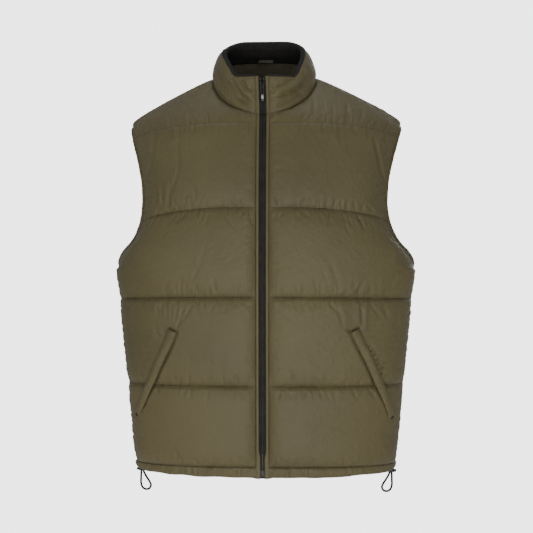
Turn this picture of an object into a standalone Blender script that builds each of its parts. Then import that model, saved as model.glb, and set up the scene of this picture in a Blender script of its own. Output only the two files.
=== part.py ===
"""Quilted puffer vest, filled out as if worn: fronts, back, lined stand collar, zip, pocket welts
and a hem drawcord. Metres, +Z up, front towards -Y. The origin lies midway between the points
where the neck seam meets the shoulder seams. Left and right are as seen from the front."""

import math
from collections import namedtuple

import bmesh
import bpy
import numpy as np
from mathutils import Vector
from mathutils.bvhtree import BVHTree

COLLECTION = "puffer_vest"

# General sizes
SEAM_INSET = 0.00016  # each piece stops this far short of its seam
WALL = 0.002  # cloth and flattened padding at a stitched line
FINE = 400  # samples on a curve before it is divided by length

# Opening at the centre front
FRONT_EDGE_X = 0.0115
PLACKET_IN_X = 0.0056
TAPE_OUT_X = 0.0080
TAPE_IN_X = 0.0004
TAPE_PARTED_X = 0.0034  # inner edge of each tape above the slider
PLACKET_PROUD = 0.0016
PLACKET_BACK = 0.0010
TAPE_FRONT = 0.0013
TAPE_BACK = 0.0021

# Neck and shoulders
NECK_HALF = 0.0868
SHOULDER_TIP = (0.2293, 0.0, -0.0800)
SHOULDER_BOW = 0.0140  # height of the bow above a straight line, and its powers from either end
SHOULDER_AT_NECK = 0.6
SHOULDER_AT_TIP = 0.2
NECK_SHARE = 0.40  # part of a panel's width that ends on the neck seam
Neck = namedtuple("Neck", "centre_y centre_z")
NECK_LIFT = 0.7  # how far the neck seam's edge faces upwards at the shoulders
FRONT_NECK = Neck(-0.0920, -0.0710)
BACK_NECK = Neck(0.0800, 0.0180)

# One row for each line across a panel, from the hem up. The centre is at x = 0. The edge is the
# side seam up to the underarm, and the armhole above it. The rows named quilt, and the hem, are
# stitched through, with no padding under them.
Row = namedtuple("Row", "name centre_z edge_z edge_x edge_y centre_y squareness")
FRONT_ROWS = (
    Row("hem", -0.6480, -0.6500, 0.2205, 0.0, -0.1080, 2.35),
    Row("lower_quilt", -0.5155, -0.5160, 0.2330, 0.0, -0.1140, 2.35),
    Row("middle_quilt", -0.3705, -0.3745, 0.2470, 0.0, -0.1180, 2.35),
    Row("underarm", -0.3225, -0.3270, 0.2520, 0.0, -0.1185, 2.35),
    Row("armhole_1", -0.3090, -0.3155, 0.2500, -0.0240, -0.1185, 2.35),
    Row("armhole_2", -0.2905, -0.2990, 0.2412, -0.0380, -0.1180, 2.35),
    Row("armhole_3", -0.2675, -0.2810, 0.2238, -0.0460, -0.1175, 2.35),
    Row("chest_quilt", -0.2255, -0.2460, 0.2068, -0.0515, -0.1165, 2.30),
    Row("chest", -0.1640, -0.1900, 0.2030, -0.0500, -0.1120, 2.20),
    Row("upper_chest", -0.1190, -0.1400, 0.2122, -0.0420, -0.1045, 2.10),
    Row("yoke_quilt", -0.0864, -0.1040, 0.2228, -0.0280, -0.0975, 2.05),
)
BACK_ROWS = (
    Row("hem", -0.6480, -0.6500, 0.2205, 0.0, 0.0980, 2.30),
    Row("lower_quilt", -0.5150, -0.5160, 0.2330, 0.0, 0.1030, 2.30),
    Row("middle_quilt", -0.3720, -0.3745, 0.2470, 0.0, 0.1070, 2.30),
    Row("underarm", -0.3225, -0.3270, 0.2520, 0.0, 0.1090, 2.30),
    Row("armhole_1", -0.3080, -0.3155, 0.2500, 0.0260, 0.1095, 2.30),
    Row("armhole_2", -0.2870, -0.2990, 0.2412, 0.0410, 0.1100, 2.30),
    Row("armhole_3", -0.2600, -0.2810, 0.2238, 0.0500, 0.1100, 2.30),
    Row("chest_quilt", -0.2200, -0.2460, 0.2070, 0.0560, 0.1100, 2.25),
    Row("chest", -0.1450, -0.1900, 0.2042, 0.0560, 0.1080, 2.15),
    Row("upper_chest", -0.0880, -0.1400, 0.2130, 0.0480, 0.1030, 2.10),
    Row("yoke_quilt", -0.0450, -0.1040, 0.2228, 0.0330, 0.0960, 2.05),
)
UNDERARM_ROW = 3

# Padding between stitched rows: its greatest height, and the shares of the channel's height where
# the panel has a line of points. The underarm channel uses its own rows there instead.
Channel = namedtuple("Channel", "lower upper height shares")
PLAIN_SHARES = (0.10, 0.35, 0.65, 0.90)
CHANNELS = (
    Channel(0, 1, 0.013, PLAIN_SHARES),
    Channel(1, 2, 0.013, PLAIN_SHARES),
    Channel(2, 7, 0.014, (0.10, 0.92)),
    Channel(7, 10, 0.011, PLAIN_SHARES),
    Channel(10, 11, 0.005, (0.15, 0.50, 0.85)),
)
UNDERARM_CHANNEL = 2
PUFF_FLATNESS = 2.4
PUFF_STEEPNESS = 0.70
LOOSE_FROM = 0.7  # share of the width from which a panel may turn sharply at the underarm
FADE_AT_ZIP = 0.014
FADE_AT_SIDE = 0.090
FADE_AT_ARMHOLE = 0.050
COLUMNS = np.array(
    (0, 0.03, 0.08, 0.14, 0.20, 0.26, 0.31, 0.36, 0.40, 0.48, 0.58, 0.69, 0.80, 0.90, 0.96, 1)
)

# Collar
COLLAR_TOP_HALF = 0.0708
COLLAR_TOP_FRONT_Y = -0.0900
COLLAR_TOP_BACK_Y = 0.0820
COLLAR_FRONT_Z = -0.0085
COLLAR_SIDE_Z = 0.0475
COLLAR_BACK_Z = 0.0732
COLLAR_SQUARENESS = 2.5
COLLAR_PUFF = 0.0060
COLLAR_FLATNESS = 3.0
COLLAR_STEEPNESS = 0.6
COLLAR_SHARES = np.array((0, 0.12, 0.35, 0.60, 0.85, 0.95, 1))
LINING_GAP = 0.0004
LINING_FRONT_FOOT = 0.004
LINING_BACK_FOOT = 0.020
LINING_RISE_START = 0.35  # share of the back's depth in front of the shoulders where it rises
# Section of the lining: out from the collar's base line, and up from the collar's top edge.
LINING_ROLL = ((-0.0030, 0.0004), (0.0008, 0.0004), (0.0002, 0.0030), (-0.0026, 0.0042),
               (-0.0056, 0.0032), (-0.0072, -0.0008), (-0.0068, -0.0110))
LINING_FOOT_DEPTHS = (-0.0060, -0.0030)

# Inside of the back neck
FACING_THICK = 0.0010
FACING_PANEL_ROWS = 3
FACING_MIDDLE = 0.45  # where its middle line lies, as a share of its height on the collar
LOOP_WIDTH = 0.026
LOOP_HEIGHT = 0.005
LOOP_THICK = 0.0012
LOOP_BOW = 0.0030
LOOP_SECTIONS = 9

# Hem band: section as shares of its height and distances out from the seam line
HEM_CENTRE_Z = -0.6665
HEM_SIDE_Z = -0.6640
HEM_EDGE_X = 0.2205
HEM_DRAW = 0.0040  # how far the lower edge is drawn in at the sides
HEM_SECTION = ((0.0, 0.0), (0.0018, 0.22), (0.0022, 0.62), (0.0008, 0.95), (-0.0014, 1.0),
               (-0.0038, 0.93), (-0.0040, 0.35), (-0.0020, 0.0))

# Armhole binding: section as distances into the hole and out from the panel's edge
BINDING_GAP = 0.0004
BINDING_SECTION = ((0.0, 0.0006), (0.0032, 0.0012), (0.0042, 0.0), (0.0042, -0.0014),
                   (0.0032, -0.0024), (0.0, -0.0022))

# Pocket welts: the opening's line from its top to its bottom, x and z, and the welt's width in x
WELT_LINE = ((0.1405, -0.4290), (0.1625, -0.4750), (0.1810, -0.5150), (0.1930, -0.5400),
             (0.2060, -0.5700))
WELT_REACH_X = (0.0125, 0.0085)
WELT_REACH_Z = (0.0070, 0.0040)
WELT_STEPS = 20
WELT_SPAN = 12  # steps that the welt can span without touching the panel
WELT_ACROSS = (0.0, 0.35, 0.7, 1.0)
WELT_LIFT = 0.0009
WELT_THICK = 0.0024

# Slider and pull tab
SLIDER_Z = -0.0222
SLIDER_SIZE = (0.0090, 0.0030, 0.0110)
SLIDER_BACK = 0.0010  # its back face lies this far behind the line of the fronts
PIN_REACH = 0.0040  # from the line of the fronts forward to the pull's axis
BRIDGE_HALF_X = 0.0008
BRIDGE_HALF_Z = 0.0027
BRIDGE_HOLE = 0.0009
BRIDGE_RIM = 0.0006
BRIDGE_SUNK = 0.0004  # how far the bridge's foot lies inside the slider
PULL_LENGTH = 0.0280
PULL_THICK = 0.0011
PULL_HALF_X = 0.0025
PULL_HOLE_HALF_X = 0.0013
PULL_HOLE_LENGTH = 0.0095
SMALL_ROUND = 0.0005

BOX_SIZE = (0.0100, 0.0020, 0.0130)
BOX_Z = -0.6565

# Hem drawcord: each side has a lock under the side seam and one free loop
CORD_DIAMETER = 0.0034
CORD_STATIONS = 24
LOCK_RADIUS = 0.0035
LOCK_ROUND = 0.0012
LOCK_X = (0.2102, 0.2218)
LOCK_Z = -0.6679
LOOP_ROUTE = (
    (0.2140, -0.0010, -0.6717), (0.2144, -0.0014, -0.6760), (0.2145, -0.0020, -0.6828),
    (0.2143, -0.0022, -0.6935), (0.2118, -0.0020, -0.7000), (0.2060, -0.0014, -0.7032),
    (0.2002, -0.0006, -0.7016), (0.1978, 0.0002, -0.6965), (0.1999, 0.0008, -0.6910),
    (0.2038, 0.0012, -0.6850), (0.2080, 0.0014, -0.6780), (0.2100, 0.0012, -0.6740),
    (0.2108, 0.0010, -0.6717),
)

SHELL = ("shell_cloth", (0.078, 0.066, 0.037), 0.55, 0.0)
PILE = ("collar_pile", (0.011, 0.011, 0.010), 0.95, 0.0)
FACING = ("facing_cloth", (0.016, 0.015, 0.011), 0.85, 0.0)
TAPE = ("zip_tape", (0.017, 0.017, 0.016), 0.75, 0.0)
METAL = ("zip_metal", (0.10, 0.10, 0.10), 0.35, 0.9)
PLASTIC = ("black_plastic", (0.012, 0.012, 0.012), 0.45, 0.0)
CORD = ("cord", (0.017, 0.017, 0.014), 0.80, 0.0)

SIDES = (("left", -1.0), ("right", 1.0))


# ---------------------------------------------------------------- scene, materials and meshes


def clear_scene():
    for obj in list(bpy.data.objects):
        bpy.data.objects.remove(obj, do_unlink=True)


def collection_named(name, hidden=False):
    made = bpy.data.collections.new(name)
    bpy.context.scene.collection.children.link(made)
    made.hide_render = hidden
    return made


def material_from(finish):
    """The Principled material of a finish: its name, colour, roughness and metallic value."""
    name, colour, roughness, metallic = finish
    found = bpy.data.materials.get(name)
    if found:
        return found
    made = bpy.data.materials.new(name)
    made.use_nodes = True
    shader = made.node_tree.nodes["Principled BSDF"]
    shader.inputs["Base Color"].default_value = (*colour, 1.0)
    shader.inputs["Roughness"].default_value = roughness
    shader.inputs["Metallic"].default_value = metallic
    made.diffuse_color = (*colour, 1.0)
    return made


def add_object(name, data, finish, place, parent):
    obj = bpy.data.objects.new(name, data)
    data.materials.append(material_from(finish))
    place.objects.link(obj)
    obj.parent = parent
    return obj


def mesh_from(name, points, faces):
    """A closed mesh, with its faces turned outwards and its round parts shaded smooth."""
    mesh = bpy.data.meshes.new(name)
    mesh.from_pydata([tuple(p) for p in points], [], [tuple(f) for f in faces])
    body = bmesh.new()
    body.from_mesh(mesh)
    bmesh.ops.recalc_face_normals(body, faces=body.faces)
    body.to_mesh(mesh)
    body.free()
    mesh.shade_smooth()
    mesh.set_sharp_from_angle(angle=math.radians(50))
    return mesh


def split_quads(quads, points):
    """Two triangles for each quad, cut along its shorter diagonal, so that a piece laid on another
    has the same creases."""
    first = np.linalg.norm(points[quads[:, 0]] - points[quads[:, 2]], axis=1)
    second = np.linalg.norm(points[quads[:, 1]] - points[quads[:, 3]], axis=1)
    turned = np.where((first <= second)[:, None], quads, np.roll(quads, -1, axis=1))
    return np.concatenate([turned[:, [0, 1, 2]], turned[:, [0, 2, 3]]])


def wall_mesh(name, outer, inner):
    """A wall between two grids of the same size, closed round its rim."""
    rows, columns = outer.shape[:2]
    count = rows * columns
    index = np.arange(count).reshape(rows, columns)
    quads = np.stack(
        [index[:-1, :-1], index[:-1, 1:], index[1:, 1:], index[1:, :-1]], axis=-1
    ).reshape(-1, 4)
    rim = np.concatenate([index[0, :-1], index[:-1, -1], index[-1, :0:-1], index[:0:-1, 0]])
    after = np.roll(rim, -1)
    edge = np.stack([rim, after, after + count, rim + count], axis=-1)
    points = np.concatenate([outer.reshape(-1, 3), inner.reshape(-1, 3)])
    outside = split_quads(quads, points)
    inside = split_quads(quads[:, ::-1] + count, points)
    faces = [tuple(f) for f in outside] + [tuple(f) for f in inside] + [tuple(f) for f in edge]
    return mesh_from(name, points, faces)


def swept_mesh(name, sections, ring=False):
    """A solid through closed sections of equal count; a ring joins its last section to its first."""
    stations, corners = sections.shape[:2]
    index = np.arange(stations * corners).reshape(stations, corners)
    if ring:
        index = np.concatenate([index, index[:1]])
    turned = np.roll(index, -1, axis=1)
    quads = np.stack([index[:-1], turned[:-1], turned[1:], index[1:]], axis=-1).reshape(-1, 4)
    faces = [tuple(q) for q in quads]
    if not ring:
        faces += [tuple(index[0]), tuple(index[-1, ::-1])]
    return mesh_from(name, sections.reshape(-1, 3), faces)


# ---------------------------------------------------------------- curves and panels


def unit(vectors):
    return vectors / np.maximum(np.linalg.norm(vectors, axis=-1, keepdims=True), 1e-12)


def ease(share):
    """0 to 1 with a level start and end."""
    held = np.clip(share, 0.0, 1.0)
    return held * held * (3 - 2 * held)


def by_length(points, shares):
    """The points at these shares of a polyline's length."""
    steps = np.linalg.norm(np.diff(points, axis=0), axis=1)
    reach = np.concatenate([[0.0], np.cumsum(steps)])
    reach /= reach[-1]
    return np.stack([np.interp(shares, reach, points[:, axis]) for axis in range(3)], axis=1)


def row_curve(row, start_x, shares):
    """A superellipse arc from the centre to the row's edge, falling with the square of x."""
    half = row.squareness / 2
    end = math.acos((row.edge_y / row.centre_y) ** half)
    reach_x = row.edge_x / math.sin(end) ** (1 / half)
    turn = np.linspace(math.asin((start_x / reach_x) ** half), end, FINE)
    x = reach_x * np.sin(turn) ** (1 / half)
    y = row.centre_y * np.abs(np.cos(turn)) ** (1 / half)
    z = row.centre_z + (row.edge_z - row.centre_z) * (x / row.edge_x) ** 2
    return by_length(np.stack([x, y, z], axis=1), shares)


def neck_and_shoulder(neck, start_x, shares):
    """The neck seam, a level-edged arc in a sloping plane, then the shoulder seam."""
    turn = np.linspace(math.asin(start_x / NECK_HALF), math.pi / 2, FINE)
    arc = np.stack(
        [NECK_HALF * np.sin(turn), neck.centre_y * np.cos(turn), neck.centre_z * np.cos(turn)],
        axis=1,
    )
    along = np.linspace(0, 1, FINE)[:, None]
    start = np.array((NECK_HALF, 0.0, 0.0))
    shoulder = start + (np.array(SHOULDER_TIP) - start) * along
    share = along[:, 0]
    shoulder[:, 2] += SHOULDER_BOW * share**SHOULDER_AT_NECK * (1 - share) ** SHOULDER_AT_TIP
    on_neck = shares <= NECK_SHARE
    return np.concatenate(
        [
            by_length(arc, shares[on_neck] / NECK_SHARE),
            by_length(shoulder, (shares[~on_neck] - NECK_SHARE) / (1 - NECK_SHARE)),
        ]
    )


def loft(knots, curves, heights, corner, looseness):
    """A cubic through the rows at each column. At the corner row, loose columns turn sharply."""
    gaps = np.diff(knots)[:, None, None]
    lines = np.diff(curves, axis=0) / gaps
    inner = (gaps[1:] * lines[:-1] + gaps[:-1] * lines[1:]) / (gaps[1:] + gaps[:-1])
    arriving = np.concatenate([lines[:1], inner, lines[-1:]])
    leaving = arriving.copy()
    weight = looseness[:, None]
    arriving[corner] = (1 - weight) * arriving[corner] + weight * lines[corner - 1]
    leaving[corner] = (1 - weight) * leaving[corner] + weight * lines[corner]
    low = np.clip(np.searchsorted(knots, heights, side="right") - 1, 0, len(knots) - 2)
    gap = (knots[low + 1] - knots[low])[:, None, None]
    v = (heights - knots[low])[:, None, None] / gap
    return (
        (2 * v**3 - 3 * v**2 + 1) * curves[low]
        + (v**3 - 2 * v**2 + v) * leaving[low] * gap
        + (3 * v**2 - 2 * v**3) * curves[low + 1]
        + (v**3 - v**2) * arriving[low + 1] * gap
    )


def heights_and_puff(knots):
    """The heights of a panel's lines of points, and the padding's height on each."""
    heights = [knots[0]]
    puffs = [0.0]
    for number, channel in enumerate(CHANNELS):
        low, high = knots[channel.lower], knots[channel.upper]
        inside = [low + (high - low) * share for share in channel.shares]
        if number == UNDERARM_CHANNEL:
            inside += list(knots[channel.lower + 1 : channel.upper])
        for height in sorted(inside):
            share = (height - low) / (high - low)
            heights.append(height)
            round_ = (1 - abs(2 * share - 1) ** PUFF_FLATNESS) ** PUFF_STEEPNESS
            puffs.append(channel.height * round_)
        heights.append(high)
        puffs.append(0.0)
    return np.array(heights), np.array(puffs)


def neck_directions(points):
    """Where the neck seam's edge faces: outwards, and upwards most at the shoulders."""
    out = points / np.array((NECK_HALF, -FRONT_NECK.centre_y, 1.0))
    out[:, 2] = 0
    out = unit(out)
    out[:, 2] = NECK_LIFT * np.abs(out[:, 0]) ** 1.5
    return unit(out)


def stepped_in(base, at_zip, at_side_until):
    """The grid with its seam edges drawn in by half a seam's gap."""
    drawn = base.copy()
    drawn[-1] += SEAM_INSET * unit(base[-2] - base[-1])
    drawn[0] += SEAM_INSET * unit(base[1] - base[0])
    drawn[:, -1] += SEAM_INSET * unit(base[:, -2] - base[:, -1])
    if at_zip:
        drawn[:, 0] += SEAM_INSET * unit(base[:, 1] - base[:, 0])
    corner = at_side_until
    drawn[corner, -1] += SEAM_INSET * unit(base[corner - 1, -1] - base[corner, -1])
    return drawn


Panel = namedtuple("Panel", "base outer inner normals underarm")


def half_panel(rows, neck, start_x):
    """The right half of a front or of the back: its base line, outer and inner grids."""
    curves = np.stack(
        [row_curve(row, start_x, COLUMNS) for row in rows]
        + [neck_and_shoulder(neck, start_x, COLUMNS)]
    )
    steps = np.linalg.norm(np.diff(curves, axis=0), axis=2).mean(axis=1)
    knots = np.concatenate([[0.0], np.cumsum(steps)])
    heights, puffs = heights_and_puff(knots)
    looseness = ease((COLUMNS - LOOSE_FROM) / (1 - LOOSE_FROM))
    base = loft(knots, curves, heights, UNDERARM_ROW, looseness)
    underarm = int(np.argmin(np.abs(heights - knots[UNDERARM_ROW])))

    facing = -1.0 if neck.centre_y > 0 else 1.0
    normals = facing * unit(np.cross(np.gradient(base, axis=1), np.gradient(base, axis=0)))
    if start_x == 0:
        normals[:, 0, 0] = 0
    normals[: underarm + 1, -1] = (1.0, 0.0, 0.0)
    normals[0, :, 2] = 0
    on_neck = COLUMNS <= NECK_SHARE
    normals[-1, on_neck] = neck_directions(base[-1, on_neck])
    run = np.array(SHOULDER_TIP) - np.array((NECK_HALF, 0.0, 0.0))
    normals[-1, ~on_neck] = unit(np.array((-run[2], 0.0, run[0])))
    normals = unit(normals)

    spans = np.linalg.norm(np.diff(base, axis=1), axis=2)
    from_centre = np.concatenate([np.zeros((len(base), 1)), np.cumsum(spans, axis=1)], axis=1)
    from_edge = from_centre[:, -1:] - from_centre
    on_side = np.arange(len(base))[:, None] <= underarm
    fade = ease(from_edge / np.where(on_side, FADE_AT_SIDE, FADE_AT_ARMHOLE))
    if start_x > 0:
        fade = fade * (1 - np.exp(-from_centre / FADE_AT_ZIP))

    drawn = stepped_in(base, start_x > 0, underarm)
    outer = drawn + normals * (puffs[:, None] * fade)[..., None]
    inner = drawn - normals * WALL
    return Panel(base, outer, inner, normals, underarm)


def mirrored(grid):
    return grid * np.array((-1.0, 1.0, 1.0))


def whole_width(half):
    """A half grid joined at x = 0 to its mirror image, from the left edge to the right."""
    return np.concatenate([mirrored(half[:, :0:-1]), half], axis=1)


# ---------------------------------------------------------------- collar


Collar = namedtuple("Collar", "foot top out")


def collar_lines(front, back):
    """The collar's seam line, top line and outward directions, from the right front edge round
    the back to the left front edge."""
    on_neck = COLUMNS <= NECK_SHARE
    right = np.concatenate([front.base[-1, on_neck], back.base[-1, on_neck][-2::-1]])
    foot = np.concatenate([right, mirrored(right[-2::-1])])
    depth = np.where(foot[:, 1] < 0, -FRONT_NECK.centre_y, BACK_NECK.centre_y)
    turn = np.arctan2(foot[:, 1] / depth, foot[:, 0] / NECK_HALF)
    power = 2 / COLLAR_SQUARENESS
    x = COLLAR_TOP_HALF * np.sign(np.cos(turn)) * np.abs(np.cos(turn)) ** power
    reach = np.where(foot[:, 1] < 0, -COLLAR_TOP_FRONT_Y, COLLAR_TOP_BACK_Y)
    y = reach * np.sign(np.sin(turn)) * np.abs(np.sin(turn)) ** power
    front_z = COLLAR_SIDE_Z + (COLLAR_FRONT_Z - COLLAR_SIDE_Z) * y / COLLAR_TOP_FRONT_Y
    back_z = COLLAR_SIDE_Z + (COLLAR_BACK_Z - COLLAR_SIDE_Z) * y / COLLAR_TOP_BACK_Y
    top = np.stack([x, y, np.where(y < 0, front_z, back_z)], axis=1)
    top[0, 0] = FRONT_EDGE_X
    top[-1, 0] = -FRONT_EDGE_X
    along = np.gradient(foot + top, axis=0)
    out = unit(np.cross(along, top - foot))
    return Collar(foot, top, out)


def along_front_edges(points):
    """The share of full padding at each point of the collar: none at its two front edges."""
    spans = np.linalg.norm(np.diff(points, axis=0), axis=1)
    reach = np.concatenate([[0.0], np.cumsum(spans)])
    nearest = np.minimum(reach, reach[-1] - reach)
    return 1 - np.exp(-nearest / FADE_AT_ZIP)


def drawn_in_ends(line):
    """A line of points with its two ends drawn in by half a seam's gap."""
    drawn = line.copy()
    drawn[0] += SEAM_INSET * unit(line[1] - line[0])
    drawn[-1] += SEAM_INSET * unit(line[-2] - line[-1])
    return drawn


def collar_wall(collar):
    foot, top = drawn_in_ends(collar.foot), drawn_in_ends(collar.top)
    foot = foot + SEAM_INSET * unit(top - foot)
    shares = COLLAR_SHARES[:, None, None]
    base = foot + (top - foot) * shares
    out = np.repeat(collar.out[None], len(COLLAR_SHARES), axis=0)
    out[0] = neck_directions(collar.foot)
    rise = (1 - np.abs(2 * COLLAR_SHARES - 1) ** COLLAR_FLATNESS) ** COLLAR_STEEPNESS
    puff = COLLAR_PUFF * rise[:, None] * along_front_edges(collar.foot)[None]
    return base + out * puff[..., None], base - out * WALL


def collar_foot_heights(collar):
    """How far above the neck seam the lining ends: higher at the back, where the facing shows."""
    backward = ease(collar.foot[:, 1] / BACK_NECK.centre_y + LINING_RISE_START)
    return LINING_FRONT_FOOT + (LINING_BACK_FOOT - LINING_FRONT_FOOT) * backward


def lining_sections(collar):
    foot, top = drawn_in_ends(collar.foot), drawn_in_ends(collar.top)
    up = unit(top - foot)
    low = foot + up * collar_foot_heights(collar)[:, None]
    deep, shallow = LINING_FOOT_DEPTHS
    corners = [low + collar.out * shallow]
    corners += [top + collar.out * out + up * rise for out, rise in LINING_ROLL]
    corners += [low + collar.out * deep]
    return np.stack(corners, axis=1)


def facing_grids(collar, back):
    """A strip inside the back neck: up the collar to the lining, and down the back."""
    on_neck = int((COLUMNS <= NECK_SHARE).sum())
    middle = len(collar.foot) // 2
    held = slice(middle - on_neck + 2, middle + on_neck - 1)
    foot, top, out = collar.foot[held], collar.top[held], collar.out[held]
    up = unit(top - foot)
    reach = (collar_foot_heights(collar)[held] - LINING_GAP)[:, None]
    seam_out = neck_directions(foot)
    down = whole_width(back.inner)[:, ::-1]
    down_out = whole_normals(back)[:, ::-1]
    centre = down.shape[1] // 2
    across = slice(centre - on_neck + 2, centre + on_neck - 1)
    places = [foot + up * reach - out * WALL, foot + up * reach * FACING_MIDDLE - out * WALL]
    outs = [out, out]
    places.append(foot - seam_out * WALL)
    outs.append(seam_out)
    for step in range(1, FACING_PANEL_ROWS + 1):
        places.append(down[-1 - step, across])
        outs.append(down_out[-1 - step, across])
    places, outs = np.stack(places), np.stack(outs)
    near = places - outs * LINING_GAP
    return near, near - outs * FACING_THICK


def whole_normals(panel):
    return np.concatenate([mirrored(panel.normals[:, :0:-1]), panel.normals], axis=1)


def hanger_loop_sections(collar):
    """A flat strip across the back neck, bowed away from the lining between its two ends."""
    middle = len(collar.foot) // 2
    up = unit(collar.top[middle] - collar.foot[middle])
    across = np.linspace(-1, 1, LOOP_SECTIONS)
    centre = collar.foot[middle] + up * (LINING_BACK_FOOT + LOOP_HEIGHT / 2)
    inward = np.array((0.0, -1.0, 0.0))
    depth = -LINING_FOOT_DEPTHS[0] + 2 * LINING_GAP
    near = slice(middle, middle + 4)
    sag = np.interp(
        np.abs(across) * LOOP_WIDTH / 2,
        -collar.foot[near, 0],
        collar.foot[middle, 1] - collar.foot[near, 1],
    )
    sections = []
    for share, drop in zip(across, sag):
        place = centre + inward * (depth + drop + LOOP_BOW * (1 - share**2))
        place = place + np.array((share * LOOP_WIDTH / 2, 0.0, 0.0))
        rise = up * LOOP_HEIGHT / 2
        thick = inward * LOOP_THICK
        sections.append([place - rise, place + rise, place + rise + thick, place - rise + thick])
    return np.array(sections)


# ---------------------------------------------------------------- bands, bindings and zip


def hem_bottom(x):
    """The height of the hem's lower edge, lowest at the centre."""
    return HEM_SIDE_Z + (HEM_CENTRE_Z - HEM_SIDE_Z) * (1 - (x / HEM_EDGE_X) ** 2)


def hem_sections(base_row, out_row):
    """The hem band below a panel's lowest row."""
    top = base_row.copy()
    top[:, 2] -= SEAM_INSET
    height = top[:, 2] - hem_bottom(top[:, 0])
    draw = HEM_DRAW * (top[:, :1] / HEM_EDGE_X) ** 2
    out = unit(out_row * np.array((1.0, 1.0, 0.0)))
    corners = []
    for reach, share in HEM_SECTION:
        corner = top + out * (reach - draw * share)
        corner[:, 2] -= height * share
        corners.append(corner)
    return np.stack(corners, axis=1)


def binding_sections(front, back):
    """A turned edge round the right armhole, from the underarm up the front and down the back."""
    first = front.underarm
    edge = np.concatenate([front.base[first:, -1], back.base[-2 : back.underarm : -1, -1]])
    out = np.concatenate([front.normals[first:, -1], back.normals[-2 : back.underarm : -1, -1]])
    inside = np.concatenate([front.base[first:, -2], back.base[-2 : back.underarm : -1, -2]])
    inside[0] = edge[0] - np.array((0.0, 0.0, 1.0))
    along = unit(np.roll(edge, -1, axis=0) - np.roll(edge, 1, axis=0))
    out = unit(out - along * (out * along).sum(axis=1, keepdims=True))
    hole = np.cross(along, out)
    hole *= np.sign(((edge - inside) * hole).sum(axis=1, keepdims=True))
    corners = [
        edge + hole * (reach + BINDING_GAP) + out * rise for reach, rise in BINDING_SECTION
    ]
    return np.stack(corners, axis=1)


def front_line(front, collar):
    """The line of the fronts' edges in the plane x = 0, from the hem's bottom to the collar's top,
    and the direction that faces forward along it."""
    hem = front.base[0, 0].copy()
    hem[2] = HEM_CENTRE_Z
    neck = collar.foot[0]
    rise = (collar.top[0] - neck) * COLLAR_SHARES[1:, None]
    line = np.concatenate([[hem], front.base[:, 0], neck + rise])
    line[:, 0] = 0
    along = np.gradient(line, axis=0)
    forward = unit(np.cross(along, np.array((-1.0, 0.0, 0.0))))
    return line, forward


def strip_sections(line, forward, inner_x, outer_x, proud, back):
    """A strip beside the centre front, between two distances in x, as closed sections."""
    across = np.array((1.0, 0.0, 0.0))
    inner_x = np.broadcast_to(np.asarray(inner_x, float), (len(line),))[:, None]
    near, far = line + across * inner_x, line + across * outer_x
    return np.stack(
        [near + forward * proud, far + forward * proud, far - forward * back, near - forward * back],
        axis=1,
    )


def point_on_line(line, z):
    """The front line's y at a height."""
    return float(np.interp(z, line[:, 2], line[:, 1]))


def bridged(depths):
    """Depths along each line of a strip, with the hollow over a stitched line spanned."""
    count = depths.shape[1]
    spanned = depths.copy()
    for low in range(count):
        for high in range(low + 2, min(low + WELT_SPAN, count)):
            share = np.linspace(0, 1, high - low + 1)
            chord = depths[:, low : low + 1] * (1 - share) + depths[:, high : high + 1] * share
            spanned[:, low : high + 1] = np.minimum(spanned[:, low : high + 1], chord)
    return spanned


def welt_grids(front_mesh):
    """A slanted welt over the right front, laid on the panel and moved out."""
    body = bmesh.new()
    body.from_mesh(front_mesh)
    tree = BVHTree.FromBMesh(body)
    body.free()
    knots = np.linspace(0, 1, len(WELT_LINE))
    shares = np.linspace(0, 1, WELT_STEPS)
    line = np.array(WELT_LINE)
    x = np.interp(shares, knots, line[:, 0])
    z = np.interp(shares, knots, line[:, 1])
    reach_x = WELT_REACH_X[0] + (WELT_REACH_X[1] - WELT_REACH_X[0]) * shares
    reach_z = WELT_REACH_Z[0] + (WELT_REACH_Z[1] - WELT_REACH_Z[0]) * shares
    places = []
    for across in WELT_ACROSS:
        for px, pz in zip(x + reach_x * across, z + reach_z * across):
            places.append(tree.ray_cast(Vector((px, -1.0, pz)), Vector((0.0, 1.0, 0.0)))[0])
    grid = np.array(places).reshape(len(WELT_ACROSS), WELT_STEPS, 3)
    grid[..., 1] = bridged(grid[..., 1])
    normals = unit(np.cross(np.gradient(grid, axis=1), np.gradient(grid, axis=0)))
    normals *= -np.sign(normals[..., 1:2])
    return grid + normals * WELT_LIFT, grid + normals * (WELT_LIFT + WELT_THICK)


def flat_curve(name, outlines, half_thick):
    """A flat plate from closed outlines of x and y; an outline inside another is a hole."""
    curve = bpy.data.curves.new(name, "CURVE")
    curve.dimensions = "2D"
    curve.fill_mode = "BOTH"
    curve.extrude = half_thick
    for outline in outlines:
        spline = curve.splines.new("POLY")
        spline.points.add(len(outline) - 1)
        for point, (x, y) in zip(spline.points, outline):
            point.co = (x, y, 0.0, 1.0)
        spline.use_cyclic_u = True
    return curve


def rounded_box(half_x, low_y, high_y, radius, steps=3):
    """A rectangle's outline with round corners."""
    corners = ((half_x, high_y, 0), (-half_x, high_y, 90), (-half_x, low_y, 180),
               (half_x, low_y, 270))
    outline = []
    for x, y, start in corners:
        centre_x = x - math.copysign(radius, x)
        centre_y = y - radius if y == high_y else y + radius
        for step in range(steps + 1):
            turn = math.radians(start + 90 * step / steps)
            outline.append(
                (centre_x + radius * math.cos(turn), centre_y + radius * math.sin(turn))
            )
    return outline


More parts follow.
